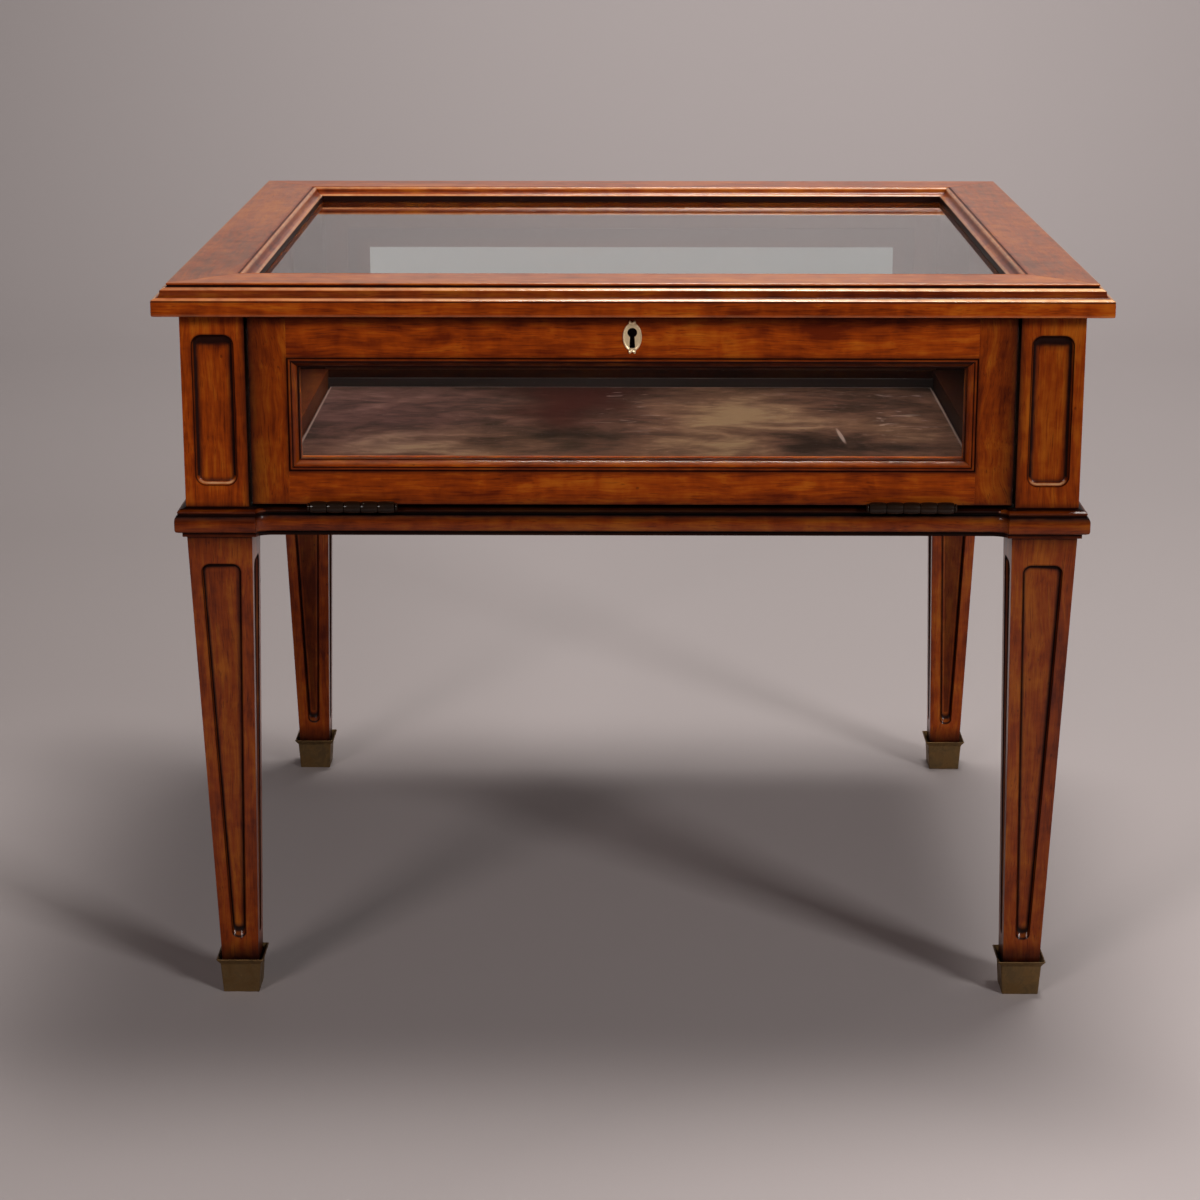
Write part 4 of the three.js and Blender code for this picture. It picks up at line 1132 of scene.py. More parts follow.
class DISPLAYTABLE_OT_legs(bpy.types.Operator):
    """Make the four tapering legs with a sunk panel in each face"""

    bl_idname = "display_table.legs"
    bl_label = "Legs"
    bl_options = {"REGISTER", "UNDO"}

    def execute(self, context):
        top, foot = WAIST_LOW.z, SABOT_HIGH.z

        def faces_at(z):
            share = (top - z) / (top - foot)
            return LEG_TAPER * share, LEG_TOP - (LEG_TOP - LEG_TAPER - LEG_FOOT) * share

        def middle_at(z):
            return sum(faces_at(z)) / 2

        def half_at(z):
            near, far = faces_at(z)
            return (far - near) / 2

        low, high = foot + LEG_PANEL_FOOT, top - LEG_PANEL_TOP
        low_half, high_half = half_at(low) - LEG_BORDER_FOOT, half_at(high) - LEG_BORDER_TOP
        for corner, place in CORNERS.items():
            shape = new_shape()
            bmesh.ops.create_grid(shape, x_segments=1, y_segments=1, size=0.5)
            near, far = faces_at(top)
            moved(shape, turned_to(0, middle_at(top), middle_at(top), top)
                  @ Matrix.Diagonal((far - near, far - near, 1, 1)))
            shape.faces.ensure_lookup_table()
            face = shape.faces[0]
            levels = [(foot, LEG_FOOT), (foot - SABOT_LIP, LEG_FOOT), (LEG_FOOT_CHAMFER, LEG_END)]
            width, height, centre = far - near, top, middle_at(top)
            for z, size in levels:
                face = extruded(shape, face)
                next_centre = LEG_TAPER + LEG_FOOT / 2
                bmesh.ops.transform(
                    shape,
                    matrix=Matrix.Translation((next_centre, next_centre, z))
                    @ Matrix.Diagonal((size / width, size / width, 1, 1))
                    @ Matrix.Translation((-centre, -centre, -height)),
                    verts=face.verts,
                )
                width, height, centre = size, z, next_centre
            bmesh.ops.recalc_face_normals(shape, faces=shape.faces)
            for axis in (0, 1):
                for inner in (0, 1):
                    out = Vector((0, 0, 0))
                    out[1 - axis] = 1 if inner else -1

                    def point(across, z):
                        spot = Vector((0, 0, z))
                        spot[axis] = middle_at(z) + across
                        spot[1 - axis] = faces_at(z)[inner]
                        return spot

                    corners = [
                        point(-low_half, low), point(low_half, low), point(high_half, high),
                        point(-high_half, high),
                    ]
                    shape.normal_update()
                    face = max(
                        (f for f in shape.faces if f.normal.dot(out) > 0.9),
                        key=lambda f: f.calc_area(),
                    )
                    # The back legs' panels get a darker field: painted shade
                    sink_panel(
                        shape, face, out, corners, (low_half - 0.6, 7),
                        sizes().leg_edge / MM, sizes().panel_depth / MM, 8,
                        0.55 if corner.startswith("back") else 0.06,
                    )
            # Painted shade under the waist and above the sabot
            cut_at(shape, 2, *(top - drop for drop in (1.5, 6, 13, 20)))
            cut_at(shape, 2, *(foot + rise for rise in (3, 9, 16)))
            tint(shape, lambda co: fade(
                top - co.z, (0, 0.75), (1.5, 0.55), (6, 0.3), (13, 0.1), (20, 0),
            ))
            tint(shape, lambda co: fade(
                co.z - foot, (0, 0.8), (3, 0.7), (9, 0.45), (16, 0.1), (22, 0),
            ))
            moved(shape, place)
            # Shade: front legs darker and back legs paler, painted light and shade evening out how the
            # lamps fall
            finished(
                f"leg_{corner}_panelled", shape, "case", ["wood_z"], [f"leg_{corner}"],
                arris=sizes().arris / MM * 1.5,
                shade={"back_left": 0.1, "back_right": 0.0}.get(corner, 0.36),
            )
        return {"FINISHED"}


class DISPLAYTABLE_OT_waist(bpy.types.Operator):
    """Make the waist moulding, which breaks forward under each post"""

    bl_idname = "display_table.waist"
    bl_label = "Waist moulding"
    bl_options = {"REGISTER", "UNDO"}

    def execute(self, context):
        half_x, half_y = POST_IN_X - WAIST_LIP, POST_IN_Y - WAIST_LIP
        thick = WAIST_HIGH.z - WAIST_LOW.z
        # The section's glaze column darkens the ledge's top and quirks: painted shade under the door
        face = POST_SIZE + WAIST_LIP
        section = [
            (BOTTOM_REBATE, 0, 0.2),
            (face - WAIST_SETBACK - 4, 0, 0.2),
            *spread(WAIST_PROFILE, WAIST_REACH, thick, face, 0),
            (face - WAIST_SETBACK - 4, thick, 0.9),
            (0, thick, 0.2),
            (0, WAIST_REBATE_LEVEL, 0.4),
            (BOTTOM_REBATE, WAIST_REBATE_LEVEL, 0.4),
        ]
        steps = 10
        for side, (_, along_x, _) in SIDES.items():
            half = half_x if along_x else half_y
            end = half - BLOCK_PAST_LIP
            curve = [
                (end - BLOCK_CURVE * (1 - math.cos(turn)), WAIST_SETBACK * math.sin(turn))
                for turn in (i / steps * math.pi / 2 for i in range(steps + 1))
            ]
            stations = [(-x, back) for x, back in curve] + list(reversed(curve))
            bar = moulded_bar(section, half, stations, moves_past=face - WAIST_SETBACK - 3)
            # What shows inside the case is in painted shade, less dark on the left, painted lit
            for part in bar.faces:
                out, up = (max(vert.co[axis] for vert in part.verts) for axis in (1, 2))
                if out < face + 0.01 and up > 1:
                    part.material_index = 1
            moved(bar, side_matrix(side, half_x, half_y, WAIST_LOW.z))
            # Shade darkens the whole ledge: painted shade under the top's overhang
            finished(
                f"waist_rail_{side}_moulded", bar, "case",
                [WOODS[0 if along_x else 1], "ruddy_wood" if side == "left" else "dull_wood"],
                [f"waist_rail_{side}"],
                arris=sizes().arris / MM, shade=0.42,
            )
        return {"FINISHED"}


class DISPLAYTABLE_OT_walls(bpy.types.Operator):
    """Make the moulded frame and the panel of each side and of the back"""

    bl_idname = "display_table.walls"
    bl_label = "Sides and back"
    bl_options = {"REGISTER", "UNDO"}

    def execute(self, context):
        middle = (POST_LOW.z + POST_HIGH.z) / 2
        half_high = (POST_HIGH.z - POST_LOW.z) / 2
        walls = {
            "back": (math.pi, CASE_Y - WALL_SETBACK, POST_IN_X, 0),
            "side_left": (-math.pi / 2, CASE_X - WALL_SETBACK, POST_IN_Y, 1),
            "side_right": (math.pi / 2, CASE_X - WALL_SETBACK, POST_IN_Y, 1),
        }
        panel_face = WALL_THICK - WALL_PANEL
        for wall, (turn, distance, half, axis) in walls.items():
            place = facing(turn, distance, middle)
            sight_x, sight_z = half - WALL_BORDER, half_high - WALL_BORDER
            border = WALL_BORDER - 0.3
            flat = MOULD_WIDTH - 0.05
            outer = (sight_x + border, sight_z + border)

            # Painted shade: the frame darkens along its outer edges, against the posts, and the panel
            # beside the frame
            rule = edge_glaze_and_shade(*outer, (0, 0.7), (2, 0.45), (6, 0.12), (12, 0))
            drops = (2, 6, 12)
            frame_parts = []
            for sign in (-1, 1):
                xs = sorted((sign * (sight_x + flat), sign * outer[0]))
                cuts = [(0, sign * (outer[0] - drop)) for drop in drops]
                frame_parts.append(block_with_glaze_and_shade(
                    (xs[0], -outer[1], -WALL_THICK), (xs[1], outer[1], 0),
                    cuts + both_ways(1, outer[1], drops), rule, 1,
                ))
                ys = sorted((sign * (sight_z + flat), sign * outer[1]))
                frame_parts.append(block_with_glaze_and_shade(
                    (-(sight_x + flat) + JOINT, ys[0], -WALL_THICK),
                    (sight_x + flat - JOINT, ys[1], 0),
                    [(1, sign * (outer[1] - drop)) for drop in drops], rule,
                ))
            section = [
                *spread(MOULD_PROFILE, MOULD_WIDTH, -MOULD_DEPTH),
                (0, -panel_face + 0.1, 1),
                (MOULD_WIDTH, -panel_face + 0.1, 1),
            ]
            for side, (_, along_x, _) in SIDES.items():
                bar = moulded_bar(section, sight_x if along_x else sight_z)
                moved(bar, side_matrix(side, sight_x, sight_z))
                for part in bar.faces:
                    part.material_index = 0 if along_x else 1
                frame_parts.append(bar)
            shape = added(new_shape(), *frame_parts)
            paint_inside_shade(shape, 2)
            moved(shape, place)
            finished(
                f"{wall}_frame_moulded", shape, "case",
                [WOODS[axis], "wood_z", "dull_wood"], [f"{wall}_frame"], arris=sizes().arris / MM,
            )
            reach_x, reach_z = sight_x + WALL_PANEL_HOLD, sight_z + WALL_PANEL_HOLD
            drops = (0.5, 4, 10)
            panel = block_with_glaze_and_shade(
                (-reach_x, -reach_z, -WALL_THICK), (reach_x, reach_z, -panel_face),
                both_ways(0, sight_x, drops) + both_ways(1, sight_z, drops),
                edge_glaze_and_shade(sight_x, sight_z, (0, 0.9), (0.5, 0.85), (4, 0.3), (10, 0)),
            )
            paint_inside_shade(panel, 1)
            moved(panel, place)
            finished(
                f"{wall}_panel_veneered", panel, "case", [WOODS[axis], "dull_wood"],
                [f"{wall}_panel"], arris=0.2,
            )
        return {"FINISHED"}


def both_ways(axis, edge, drops):
    """Cuts at distances in from the two edges of a panel."""
    return [(axis, sign * (edge - drop)) for sign in (-1, 1) for drop in drops]


def edge_glaze_and_shade(half_x, half_y, *steps):
    """A rule for glaze and painted shade that fades from the edges of a panel inward."""
    return lambda co: fade(min(half_x - abs(co.x), half_y - abs(co.y)), *steps)


def block_with_glaze_and_shade(low, high, cuts, rule, material=0):
    """A block with glaze and painted shade by a rule, all of one material's number."""
    shape = block(low, high, cuts)
    tint(shape, rule)
    for part in shape.faces:
        part.material_index = material
    return shape


def paint_inside_shade(shape, material):
    """Gives the faces that look into the case their own material, the wood in painted shade."""
    shape.normal_update()
    for part in shape.faces:
        if part.calc_center_median().z < -WALL_THICK + 0.01:
            part.material_index = material


def door_glaze_and_shade(co):
    """Glaze and painted shade over the door's frame, darkest along its outer edges and beside the
    moulding: glaze along the outer edges, painted shade at the ends and beside the moulding.
    """
    from_side = DOOR_HIGH.x - abs(co.x)
    from_end = min(co.z - DOOR_LOW.z, DOOR_HIGH.z - co.z)
    opening_x = DOOR_HIGH.x - STILE
    beside = max(
        abs(co.x) - opening_x, DOOR_LOW.z + DOOR_BOTTOM_RAIL - co.z,
        co.z - (DOOR_HIGH.z - DOOR_TOP_RAIL),
    )
    return max(
        fade(from_side, (0, 0.85), (2, 0.65), (6, 0.4), (14, 0.18), (21, 0.06), (27, 0)),
        fade(from_end, (0, 0.7), (2, 0.4), (6, 0.16), (10, 0.04), (14, 0)),
        fade(beside, (0, 0.6), (1.2, 0.3), (3.5, 0.05), (6, 0)),
    )


class DISPLAYTABLE_OT_door(bpy.types.Operator):
    """Make the door's stiles, rails and mouldings"""

    bl_idname = "display_table.door"
    bl_label = "Door"
    bl_options = {"REGISTER", "UNDO"}

    def execute(self, context):
        low, high = DOOR_LOW, DOOR_HIGH
        opening_x = high.x - STILE
        opening = (low.z + DOOR_BOTTOM_RAIL, high.z - DOOR_TOP_RAIL)
        depths = (low.y, low.y + DOOR_THICK)
        near = (2, 6, 10, 14, 21)
        beside = (1.2, 3.5, 6)
        foot_levels = [low.z + d for d in near] + [opening[0] - d for d in beside]
        head_levels = [high.z - d for d in near] + [opening[1] + d for d in beside]

        def on_edge(co):
            around = min(high.x - abs(co.x), co.z - low.z, high.z - co.z)
            return around < 0.01 and abs(abs(co.x) - opening_x) > 0.1

        for side, sign in (("left", -1), ("right", 1)):
            xs = sorted((sign * opening_x, sign * high.x))
            stile = block((xs[0], depths[0], low.z), (xs[1], depths[1], high.z))
            cut_at(stile, 0, *(sign * (high.x - d) for d in near))
            cut_at(stile, 0, *(sign * (opening_x + d) for d in beside))
            cut_at(stile, 2, *foot_levels, *head_levels, *opening)
            tint(stile, door_glaze_and_shade)
            soften(stile, on_edge, sizes().arris / MM * 1.6)
            # Stile shade: the right one darker, painted shade where the right lamp lights it more
            finished(
                f"door_stile_{side}_shaped", stile, "door", ["figured_wood"],
                [f"door_stile_{side}"], arris=0, shade=0.18 if sign < 0 else 0.23,
            )
        inner = opening_x - 0.02
        top = block((-inner, depths[0], opening[1]), (inner, depths[1], high.z))
        middle = (opening[1] + high.z) / 2
        # The keyhole's bore and the lock's notch are lined black: painted shade
        let_in(top, face_at(top, (0, depths[0], middle)), [
            (x, depths[0], z) for x, z in keyhole(high.z - KEY_BELOW_TOP, KEYHOLE_EASE)
        ], LOCK_BORE, 1)
        case_low, case_high = span("lock_case")
        ease = Vector([POCKET_EASE] * 3)
        cut_notch(top, case_low - ease, Vector((case_high.x + POCKET_EASE, depths[1], high.z)), 1)
        cut_at(top, 2, *head_levels)
        bottom = block((-inner, depths[0], low.z), (inner, depths[1], opening[0]))
        cut_at(bottom, 2, *foot_levels)
        for name, shape in (("top", top), ("bottom", bottom)):
            tint(shape, door_glaze_and_shade)
            soften(shape, on_edge, sizes().arris / MM * 1.6)
            # Rail shade: painted light on the top rail, a little painted shade on the bottom one
            finished(
                f"door_rail_{name}_shaped", shape, "door", ["wood_x", "black_strip"],
                [f"door_rail_{name}"], arris=0, shade=-0.06 if name == "top" else 0.04,
            )
        sight_x = opening_x - MOULD_WIDTH
        sight_z = (opening[1] - opening[0]) / 2 - MOULD_WIDTH
        place = facing(0, CASE_Y, sum(opening) / 2)
        section = [
            *spread(MOULD_PROFILE, MOULD_WIDTH - JOINT, -MOULD_DEPTH),
            (0, 0.3 - MOULD_DEPTH, 1),
            (MOULD_WIDTH - JOINT, 0.3 - MOULD_DEPTH, 1),
        ]
        names = {"back": "top", "front": "bottom", "left": "left", "right": "right"}
        # Painted light by side: painted shade on the top moulding, whose slope faces down, and painted
        # highlights on the bottom and right ones, which face the lamps
        held = {"back": 0.5, "front": -0.28, "left": 0.12, "right": -0.15}
        for side, (_, along_x, _) in SIDES.items():
            glaze_with_painted_light = [
                (across, up, min(1, dark + held[side]) if across < 0.62 * MOULD_WIDTH else dark)
                for across, up, dark in section
            ]
            bar = moulded_bar(glaze_with_painted_light, sight_x if along_x else sight_z)
            moved(bar, place @ side_matrix(side, sight_x, sight_z))
            finished(
                f"door_moulding_{names[side]}_shaped", bar, "door",
                ["wood_x" if along_x else "wood_z"], [f"door_moulding_{names[side]}"], arris=0.25,
            )
        return {"FINISHED"}


class DISPLAYTABLE_OT_glazing(bpy.types.Operator):
    """Finish the two panes and the beads that hold them"""

    bl_idname = "display_table.glazing"
    bl_label = "Glass and beads"
    bl_options = {"REGISTER", "UNDO"}

    def execute(self, context):
        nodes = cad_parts
        beads = [name for name in nodes if name.startswith(("top_bead_", "door_bead_"))]
        for name in ("top_glass", "door_glass"):
            dress(name, "clear_pane")
        for name in beads:
            side = name.rsplit("_", 1)[1]
            upright = "wood_z" if name.startswith("door") else "wood_y"
            dress(name, upright if side in ("left", "right") else "wood_x")
        return {"FINISHED"}


def dress(node, material):
    """Gives a CAD node that stays its finished material."""
    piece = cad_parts[node]
    if not piece.material_slots:
        piece.data.materials.append(None)
    for held in piece.material_slots:
        held.link = "OBJECT"
        held.material = bpy.data.materials[material]


class DISPLAYTABLE_OT_inside(bpy.types.Operator):
    """Finish the bottom, the velvet covered board and the stop strips"""

    bl_idname = "display_table.inside"
    bl_label = "Inside"
    bl_options = {"REGISTER", "UNDO"}

    def execute(self, context):
        dress("bottom_board", "stained_board")
        dress("display_board", "bare_board")
        # The back stop strip is black: painted shade at the back of the case
        dress("board_stop", "black_strip")
        # The door stop is the wood in painted shade
        dress("door_stop", "dull_wood")
        low, high = span("velvet_cover")
        less = CLOTH_THICK + 2 * CLOTH_HEM
        size_x, size_y = high.x - low.x - less, high.y - low.y - less
        height = high.z - low.z - CLOTH_THICK / 2
        shape = new_shape()
        bmesh.ops.create_grid(shape, x_segments=120, y_segments=110, size=0.5)
        middle = Vector(((low.x + high.x) / 2, (low.y + high.y) / 2, 0))
        moved(shape, Matrix.Translation(middle + Vector((0, 0, low.z + height)))
              @ Matrix.Diagonal((size_x, size_y, 1, 1)))
        rim = [edge for edge in shape.edges if edge.is_boundary]
        layer = glaze_and_painted_light_of(shape)
        folds = (
            (0, CLOTH_HEM - 0.4), (CLOTH_ROUND * 0.3, 0.25), (CLOTH_ROUND * 0.7, 0.15),
            (height - 1.1, 0),
        )
        for drop, spread_out in folds:
            verts, rim = pulled(shape, rim, (0, 0, -drop))
            grow = Matrix.Diagonal((1 + 2 * spread_out / size_x, 1 + 2 * spread_out / size_y, 1, 1))
            about = Matrix.Translation(middle) @ grow @ Matrix.Translation(-middle)
            bmesh.ops.transform(shape, matrix=about, verts=verts)
            size_x, size_y = size_x + 2 * spread_out, size_y + 2 * spread_out
            # The hem is marked to be painted paler: a painted highlight where the cloth rounds over the
            # edge
            for vert in verts:
                vert[layer] = 0.9
        for vert in shape.verts:
            ripple = math.sin(vert.co.x * 0.021 + vert.co.y * 0.013) * math.sin(vert.co.y * 0.027)
            near = min(high.x - abs(vert.co.x), high.y - vert.co.y, vert.co.y - low.y)
            vert.co.z += 0.12 * (ripple - 1) * min(1.0, max(0.0, near - 3) / 20)
        to_metres(shape)
        cloth = as_object("velvet_cloth", shape, bpy.data.materials["brushed_velvet"])
        wall = cloth.modifiers.new("cloth thickness", "SOLIDIFY")
        wall.thickness = CLOTH_THICK * MM
        wall.offset = 0
        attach(cloth, "case")
        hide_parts("velvet_cover")
        flat = ((size_x + 2 * height) * MM, (size_y + 2 * height) * MM)
        return {"FINISHED"}


class DISPLAYTABLE_OT_sabots(bpy.types.Operator):
    """Make the brass cups on the feet, with their flared lips and pins"""

    bl_idname = "display_table.sabots"
    bl_label = "Sabots"
    bl_options = {"REGISTER", "UNDO"}

    def execute(self, context):
        lip = SABOT_HIGH.z - SABOT_LIP
        middle = LEG_TAPER + LEG_FOOT / 2
        body = LEG_FOOT / 2 + 0.3 + SABOT_WALL
        levels = [
            (SABOT_FOOT, 0), (SABOT_FOOT + 0.3, 0.5), (body - 0.05, lip - 0.6),
            (body + 0.25, lip + 0.2), (body + 1.4, lip + 1.9), (body + 3, SABOT_HIGH.z - 0.5),
            (body + 2.8, SABOT_HIGH.z), (body + 2, SABOT_HIGH.z - 0.1),
            (body - SABOT_WALL + 0.2, lip + 0.6), (SABOT_FOOT - SABOT_WALL, 2),
        ]
        for corner, place in CORNERS.items():
            shape = new_shape()
            bmesh.ops.create_grid(shape, x_segments=1, y_segments=1, size=1)
            bmesh.ops.bevel(
                shape, geom=list(shape.verts), affect="VERTICES", offset=0.06, offset_type="OFFSET",
                segments=4, profile=0.5, material=-1,
            )
            shape.faces.ensure_lookup_table()
            face = shape.faces[0]
            half, height = 1, 0
            for step, (next_half, z) in enumerate(levels):
                if step:
                    face = extruded(shape, face)
                bmesh.ops.transform(
                    shape,
                    matrix=Matrix.Diagonal((next_half / half, next_half / half, 1, 1))
                    @ Matrix.Translation((0, 0, z - height)),
                    verts=face.verts,
                )
                half, height = next_half, z
            pins = []
            for quarter in range(4):
                pin = new_shape()
                bmesh.ops.create_uvsphere(pin, u_segments=16, v_segments=8, radius=1.0)
                moved(pin, Matrix.Rotation(quarter * math.pi / 2, 4, "Z")
                      @ Matrix.Translation((0, -14.95, 14)) @ Matrix.Diagonal((1, 0.4, 1, 1)))
                pins.append(pin)
            added(shape, *pins)
            moved(shape, place @ Matrix.Translation((middle, middle, 0)))
            finished(
                f"sabot_{corner}_cup", shape, "case", ["sabot_brass"],
                [f"sabot_{corner}"], arris=0.25, smooth=30,
            )
        return {"FINISHED"}


class DISPLAYTABLE_OT_hinges(bpy.types.Operator):
    """Make the hinges: leaves with round knuckles, screws and ball tipped pins"""

    bl_idname = "display_table.hinges"
    bl_label = "Hinges"
    bl_options = {"REGISTER", "UNDO"}

    def execute(self, context):
        radius, pin_radius, tip_radius, tip_length = 4.5, 1.8, 3.3, 1.5
        leaf_thick, leaf_start, leaf_depth, leaf_neck = 1.5, 5, 18, 3.2
        screw_apart, screw_radius, outer_screw, middle_screw = 24, 2.9, 13, 7
        for side in ("left", "right"):
            low, high = span(f"hinge_frame_leaf_{side}")
            pin_low, pin_high = span(f"hinge_pin_{side}")
            middle = (low.x + high.x) / 2
            length = high.x - low.x + 0.3
            axis_y = low.y + radius
            axis_z = (pin_low.z + pin_high.z) / 2
            place = Matrix.Translation((middle, axis_y, axis_z))
            pitch = length / 5
            for part, knuckles, up, body in (
                ("frame", (0, 2, 4), -1, "case"), ("door", (1, 3), 1, "door"),
            ):
                shape = new_shape()
                near, far = 0.95, 1.0 + leaf_thick
                levels = sorted((up * near, up * far))
                parts = [
                    block(
                        (-length / 2, leaf_start, levels[0]),
                        (length / 2, leaf_start + leaf_depth, levels[1]),
                    ),
                ]
                for i in knuckles:
                    start, end = i * pitch - length / 2 + 0.15, (i + 1) * pitch - length / 2 - 0.15
                    bore, round_off = pin_radius + 0.2, 0.35
                    crown = [
                        (start + (end - start) * step / 8, radius - 0.55 * abs(step / 4 - 1) ** 2.5)
                        for step in range(9)
                    ]
                    crown[0] = (start + 0.1, crown[0][1])
                    crown[-1] = (end - 0.1, crown[-1][1])
                    parts.append(turned_tube([
                        (start, bore), (start, radius - round_off - 0.5), *crown,
                        (end, radius - round_off - 0.5), (end, bore),
                    ]))
                    parts.append(block((start, leaf_neck, levels[0]), (end, leaf_start + 1, levels[1])))
                for x in (-screw_apart, 0, screw_apart):
                    back = leaf_start + (outer_screw if x else middle_screw)
                    head = Matrix.Translation((x, back, up * (near - 0.02)))
                    if up > 0:
                        head = head @ Matrix.Rotation(math.pi, 4, "X")
                    parts.append(screw_head(head, screw_radius, 0.4 + x * 0.05))
                added(shape, *parts)
                moved(shape, place)
                finished(
                    f"hinge_{part}_leaf_{side}_turned", shape, body, ["hinge_bronze"],
                    [f"hinge_{part}_leaf_{side}"], arris=0.15, smooth=35,
                )
            half = (pin_high.x - pin_low.x) / 2
            meet = math.asin(pin_radius / tip_radius)
            centre = half - tip_length
            tip = [
                (centre + tip_length * math.cos(turn), tip_radius * math.sin(turn))
                for turn in (i / 10 * (math.pi - meet) for i in range(11))
            ]
            profile = [(-x, r) for x, r in tip] + list(reversed(tip))
            profile[0] = (-half, 0.0)
            profile[-1] = (half, 0.0)
            pin = turned_tube(profile)
            moved(pin, place)
            finished(
                f"hinge_pin_{side}_turned", pin, "case", ["hinge_bronze"],
                [f"hinge_pin_{side}"], arris=0, smooth=40,
            )
        return {"FINISHED"}


class DISPLAYTABLE_OT_lock(bpy.types.Operator):
    """Finish the lock, its bolt, the strike plate and the escutcheon"""

    bl_idname = "display_table.lock"
    bl_label = "Lock and escutcheon"
    bl_options = {"REGISTER", "UNDO"}

    def execute(self, context):
        dress("lock_case", "lock_steel")
        dress("lock_bolt", "keyhole_brass")
        dress("strike_plate", "keyhole_brass")
        self.escutcheon()
        low, high = span("lock_case")
        to_back = Matrix.Rotation(-math.pi / 2, 4, "X")
        screws = added(new_shape(), *(
            screw_head(
                Matrix.Translation((x, high.y + 0.02, high.z - drop)) @ to_back, 2.1, drop + x,
            )
            for x in (low.x + 4.5, high.x - 4.5) for drop in (5, high.z - low.z - 5)
        ))
        finished("lock_screws", screws, "door", ["lock_steel"], arris=0)
        low, high = span("strike_plate")
        y = (low.y + high.y) / 2
        to_floor = Matrix.Rotation(math.pi, 4, "X")
        screws = added(new_shape(), *(
            screw_head(Matrix.Translation((x, y, low.z - 0.02)) @ to_floor, 2.3, x * 0.2)
            for x in (low.x + 5, high.x - 5)
        ))
        finished("strike_screws", screws, "case", ["keyhole_brass"], arris=0)
        return {"FINISHED"}

    def escutcheon(self):
        """An oval plate with a domed rim, a small crown at each end, and two pins."""
        key_z = DOOR_HIGH.z - KEY_BELOW_TOP
        middle = key_z - 3.3
        half_width, half_height, crown = 7.15, 10.9, 2.6
        meet = math.asin(crown / half_width)
        tip = half_height * math.cos(meet)
        sides = [meet - math.pi / 2 + i / 22 * (math.pi - 2 * meet) for i in range(23)]
        half = [(half_width * math.cos(turn), half_height * math.sin(turn)) for turn in sides]
        lobes = ((2.75, 0.8), (2.65, 1.7), (2.2, 2.45), (1.55, 2.5), (1.05, 1.9), (0.6, 1.4))
        half += [(x, tip + up) for x, up in lobes] + [(0.0, tip + 1.25)]
        half += [(-x, tip + up) for x, up in reversed(lobes)]
        outline = half + [(-x, -y) for x, y in half]
        steps = (
            (0.4, 1), (0.85, 0.98), (1.15, 0.945), (1.2, 0.91), (1.05, 0.87), (0.8, 0.83), (0.75, 0.8),
        )
        shape = pierced_plate(outline, keyhole(key_z - middle), steps)
        pins = []
        for up in (-1, 1):
            pin = new_shape()
            bmesh.ops.create_uvsphere(pin, u_segments=14, v_segments=8, radius=0.75)
            pins.append(moved(pin, Matrix.Translation((0, up * (half_height - 0.9), 0.85))
                              @ Matrix.Diagonal((1, 1, 0.5, 1))))
        added(shape, *pins)
        moved(shape, facing(0, -DOOR_LOW.y, middle))
        finished(
            "escutcheon_domed", shape, "door", ["keyhole_brass"], ["escutcheon"],
            arris=0.12, smooth=38,
        )


def paper_finish(colour):
    """The paper of the floor and backdrop, with painted light: a little paler to the right, at the
    front and high up, where more lamp light falls. In reflections its front is dark."""
    finish = Finish("backdrop_paper")
    grain = finish.noise(finish.place(), 900, 2, 0.5)
    x, y = (finish.add("SeparateXYZ", None, {0: finish.place()}, axis) for axis in (0, 1))

    def graded(value, start, end, first, last):
        return finish.add("MapRange", None, {0: value, 1: start, 2: end, 3: first, 4: last})

    # Painted light: gradients that stand in for how the lamps fall on the floor and backdrop
    side = graded(x + y * 0.1, -1.1, 1.1, 0.885, 1.14)
    near = graded(x - y, 0.5, 0.95, 1.0, 1.27)
    far = graded(y, 0.5, 1.6, 1.0, 0.95)
    rise = graded(y, 2.2, 3.6, 1.0, 1.06)
    paper = finish.blend(grain, scaled(colour, 0.985), scaled(colour, 1.015))
    paper = finish.dimmed(paper, side * near * far * rise)
    pale = finish.surface(Base_Color=paper, Roughness=0.75, Specular_IOR_Level=0.15)
    dark = finish.add("BsdfDiffuse", None, {"Color": (0.02, 0.02, 0.02, 1)})
    front = graded(y, -1.2, -2.0, 0.0, 1.0)
    glossy = finish.add("LightPath", output=3)
    return finish.end(finish.add("MixShader", None, {0: glossy * front, 1: pale, 2: dark}))


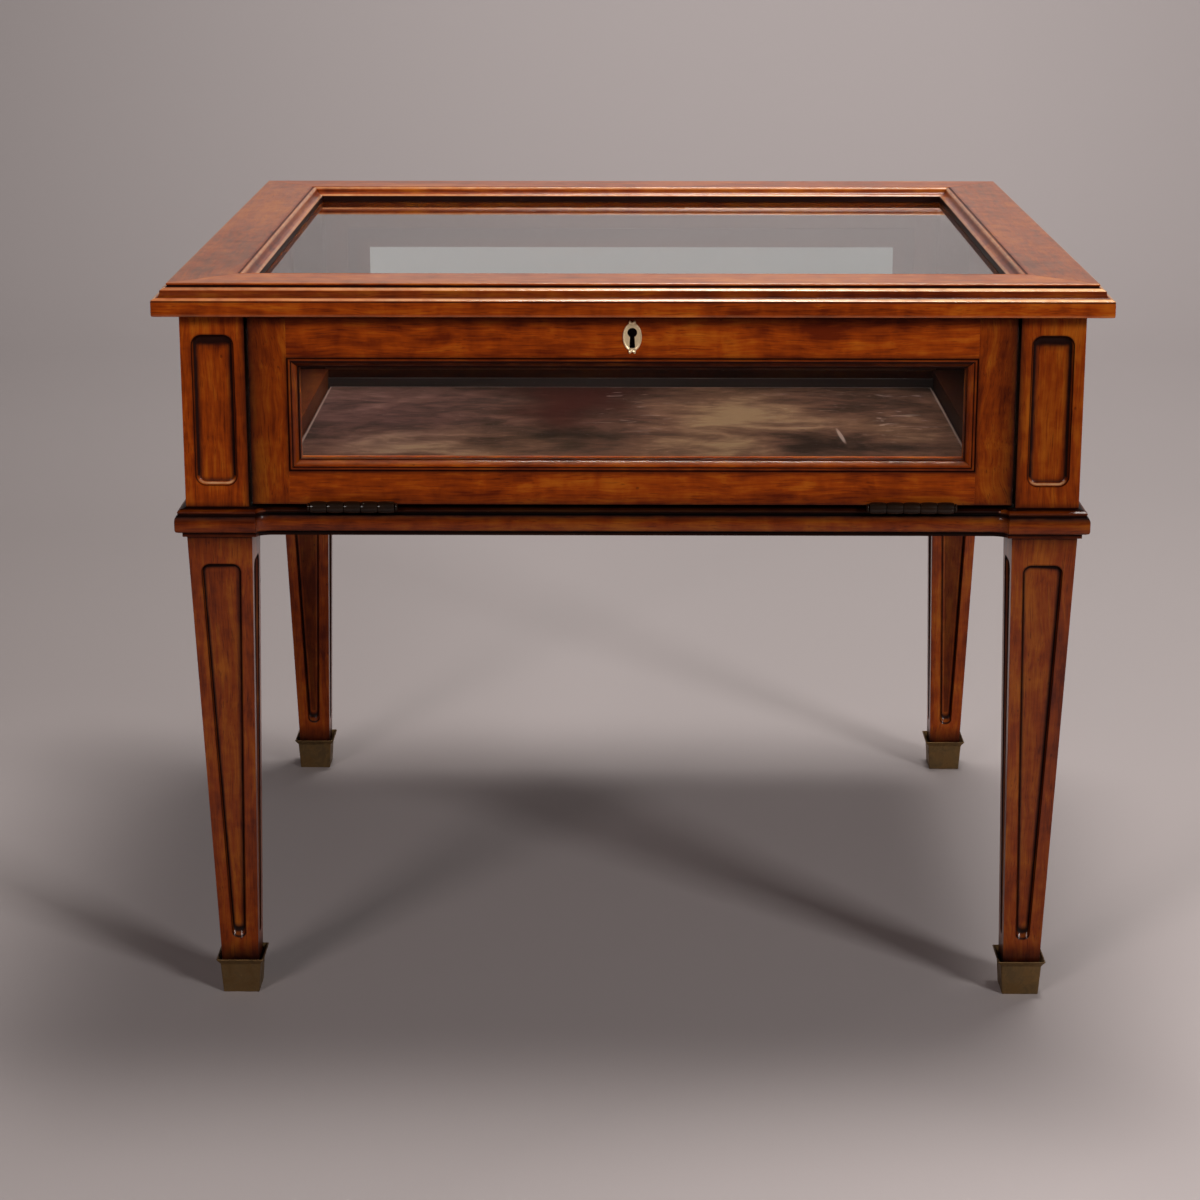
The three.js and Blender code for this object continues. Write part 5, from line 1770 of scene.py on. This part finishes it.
class DISPLAYTABLE_OT_stage(bpy.types.Operator):
    """Make the floor, backdrop, lights and camera"""

    bl_idname = "display_table.stage"
    bl_label = "Stage"
    bl_options = {"REGISTER", "UNDO"}

    def execute(self, context):
        scene = context.scene
        settings = scene.display_table_stage
        shape = bmesh.new()
        ends = [shape.verts.new((x, FLOOR_FRONT, 0)) for x in (-FLOOR_SIDE, FLOOR_SIDE)]
        verts, edges = pulled(shape, [shape.edges.new(ends)], (0, FLOOR_BACK - FLOOR_FRONT, 0))
        made = bmesh.ops.spin(
            shape, geom=[*verts, *edges], cent=(0, FLOOR_BACK, BACKDROP_CURVE), axis=(1, 0, 0),
            angle=math.pi / 2, steps=24,
        )["geom_last"]
        pulled(shape, of_kind(made, bmesh.types.BMEdge), (0, 0, BACKDROP_RISE))
        bmesh.ops.recalc_face_normals(shape, faces=shape.faces)
        as_object("backdrop", shape, paper_finish(settings.floor))

        # The card glows and shows only in reflections: a painted reflection on the top's flats
        card_paper = Finish("card_paper")
        card_paper.end(card_paper.add("Emission", None, {"Color": CARD_COLOUR}))
        shape = bmesh.new()
        bmesh.ops.create_grid(shape, x_segments=1, y_segments=1, size=0.5)
        moved(shape, Matrix.Translation(CARD_PLACE) @ Matrix.Rotation(math.pi / 2, 4, "X")
              @ Matrix.Diagonal((*CARD_SIZE, 1, 1)))
        card = as_object("reflector_card", shape, card_paper.owner)
        card.visible_camera = card.visible_diffuse = card.visible_shadow = False

        for name, (place, target, (width, height), colour) in LAMPS.items():
            lamp = bpy.data.lights.new(f"{name}_light", "AREA")
            lamp.shape, lamp.size, lamp.size_y = "RECTANGLE", width, height
            lamp.energy, lamp.color = getattr(settings, name), colour
            holder = bpy.data.objects.new(f"{name}_light", lamp)
            holder.location = place
            way = Vector(target) - Vector(place)
            holder.rotation_euler = way.to_track_quat("-Z", "Y").to_euler()
            scene.collection.objects.link(holder)

        studio = Finish("studio", bpy.data.worlds)
        fill = studio.add("Background", None, {"Color": ROOM_COLOUR, "Strength": ROOM_STRENGTH})
        dim = studio.add("Background", None, {"Color": (0.01, 0.01, 0.01, 1), "Strength": 1.0})
        glossy = studio.add("LightPath", output=3)
        studio.end(studio.add("MixShader", None, {0: glossy, 1: fill, 2: dim}), "OutputWorld")
        scene.world = studio.owner

        lens = bpy.data.cameras.new("camera")
        lens.lens, lens.sensor_width = CAMERA_LENS, CAMERA_FILM
        lens.clip_end = 50
        camera = bpy.data.objects.new("camera", lens)
        camera.location = CAMERA_PLACE
        camera.rotation_euler = (math.pi / 2 - CAMERA_TILT, 0.0, CAMERA_TURN)
        scene.collection.objects.link(camera)
        scene.camera = camera
        scene.view_settings.view_transform = "Standard"
        return {"FINISHED"}


class DISPLAYTABLE_PT_panel(bpy.types.Panel):
    """Lists the table's settings and makers"""

    bl_idname = "DISPLAYTABLE_PT_panel"
    bl_label = "Display Table"
    bl_space_type = "VIEW_3D"
    bl_region_type = "UI"
    bl_category = "Display Table"

    def draw(self, context):
        for group in ("colours", "sizes", "stage"):
            box = self.layout.box()
            settings = getattr(context.scene, f"display_table_{group}")
            for name in settings.__annotations__:
                box.prop(settings, name)
        for maker in MAKERS:
            self.layout.operator(maker.bl_idname)


SETTINGS = {
    "display_table_colours": DisplayTableColours,
    "display_table_sizes": DisplayTableSizes,
    "display_table_stage": DisplayTableStage,
}
MAKERS = (
    DISPLAYTABLE_OT_stage,
    DISPLAYTABLE_OT_finishes,
    DISPLAYTABLE_OT_top_frame,
    DISPLAYTABLE_OT_posts,
    DISPLAYTABLE_OT_legs,
    DISPLAYTABLE_OT_waist,
    DISPLAYTABLE_OT_walls,
    DISPLAYTABLE_OT_door,
    DISPLAYTABLE_OT_glazing,
    DISPLAYTABLE_OT_inside,
    DISPLAYTABLE_OT_sabots,
    DISPLAYTABLE_OT_hinges,
    DISPLAYTABLE_OT_lock,
)


def register():
    for group in (*SETTINGS.values(), *MAKERS, DISPLAYTABLE_PT_panel):
        bpy.utils.register_class(group)
    for name, group in SETTINGS.items():
        setattr(bpy.types.Scene, name, bpy.props.PointerProperty(type=group))


def unregister():
    for name in SETTINGS:
        delattr(bpy.types.Scene, name)
    for group in reversed((*SETTINGS.values(), *MAKERS, DISPLAYTABLE_PT_panel)):
        bpy.utils.unregister_class(group)


def main():
    register()
    for maker in MAKERS:
        category, name = maker.bl_idname.split(".")
        getattr(getattr(bpy.ops, category), name)()


if __name__ == "__main__":
    main()
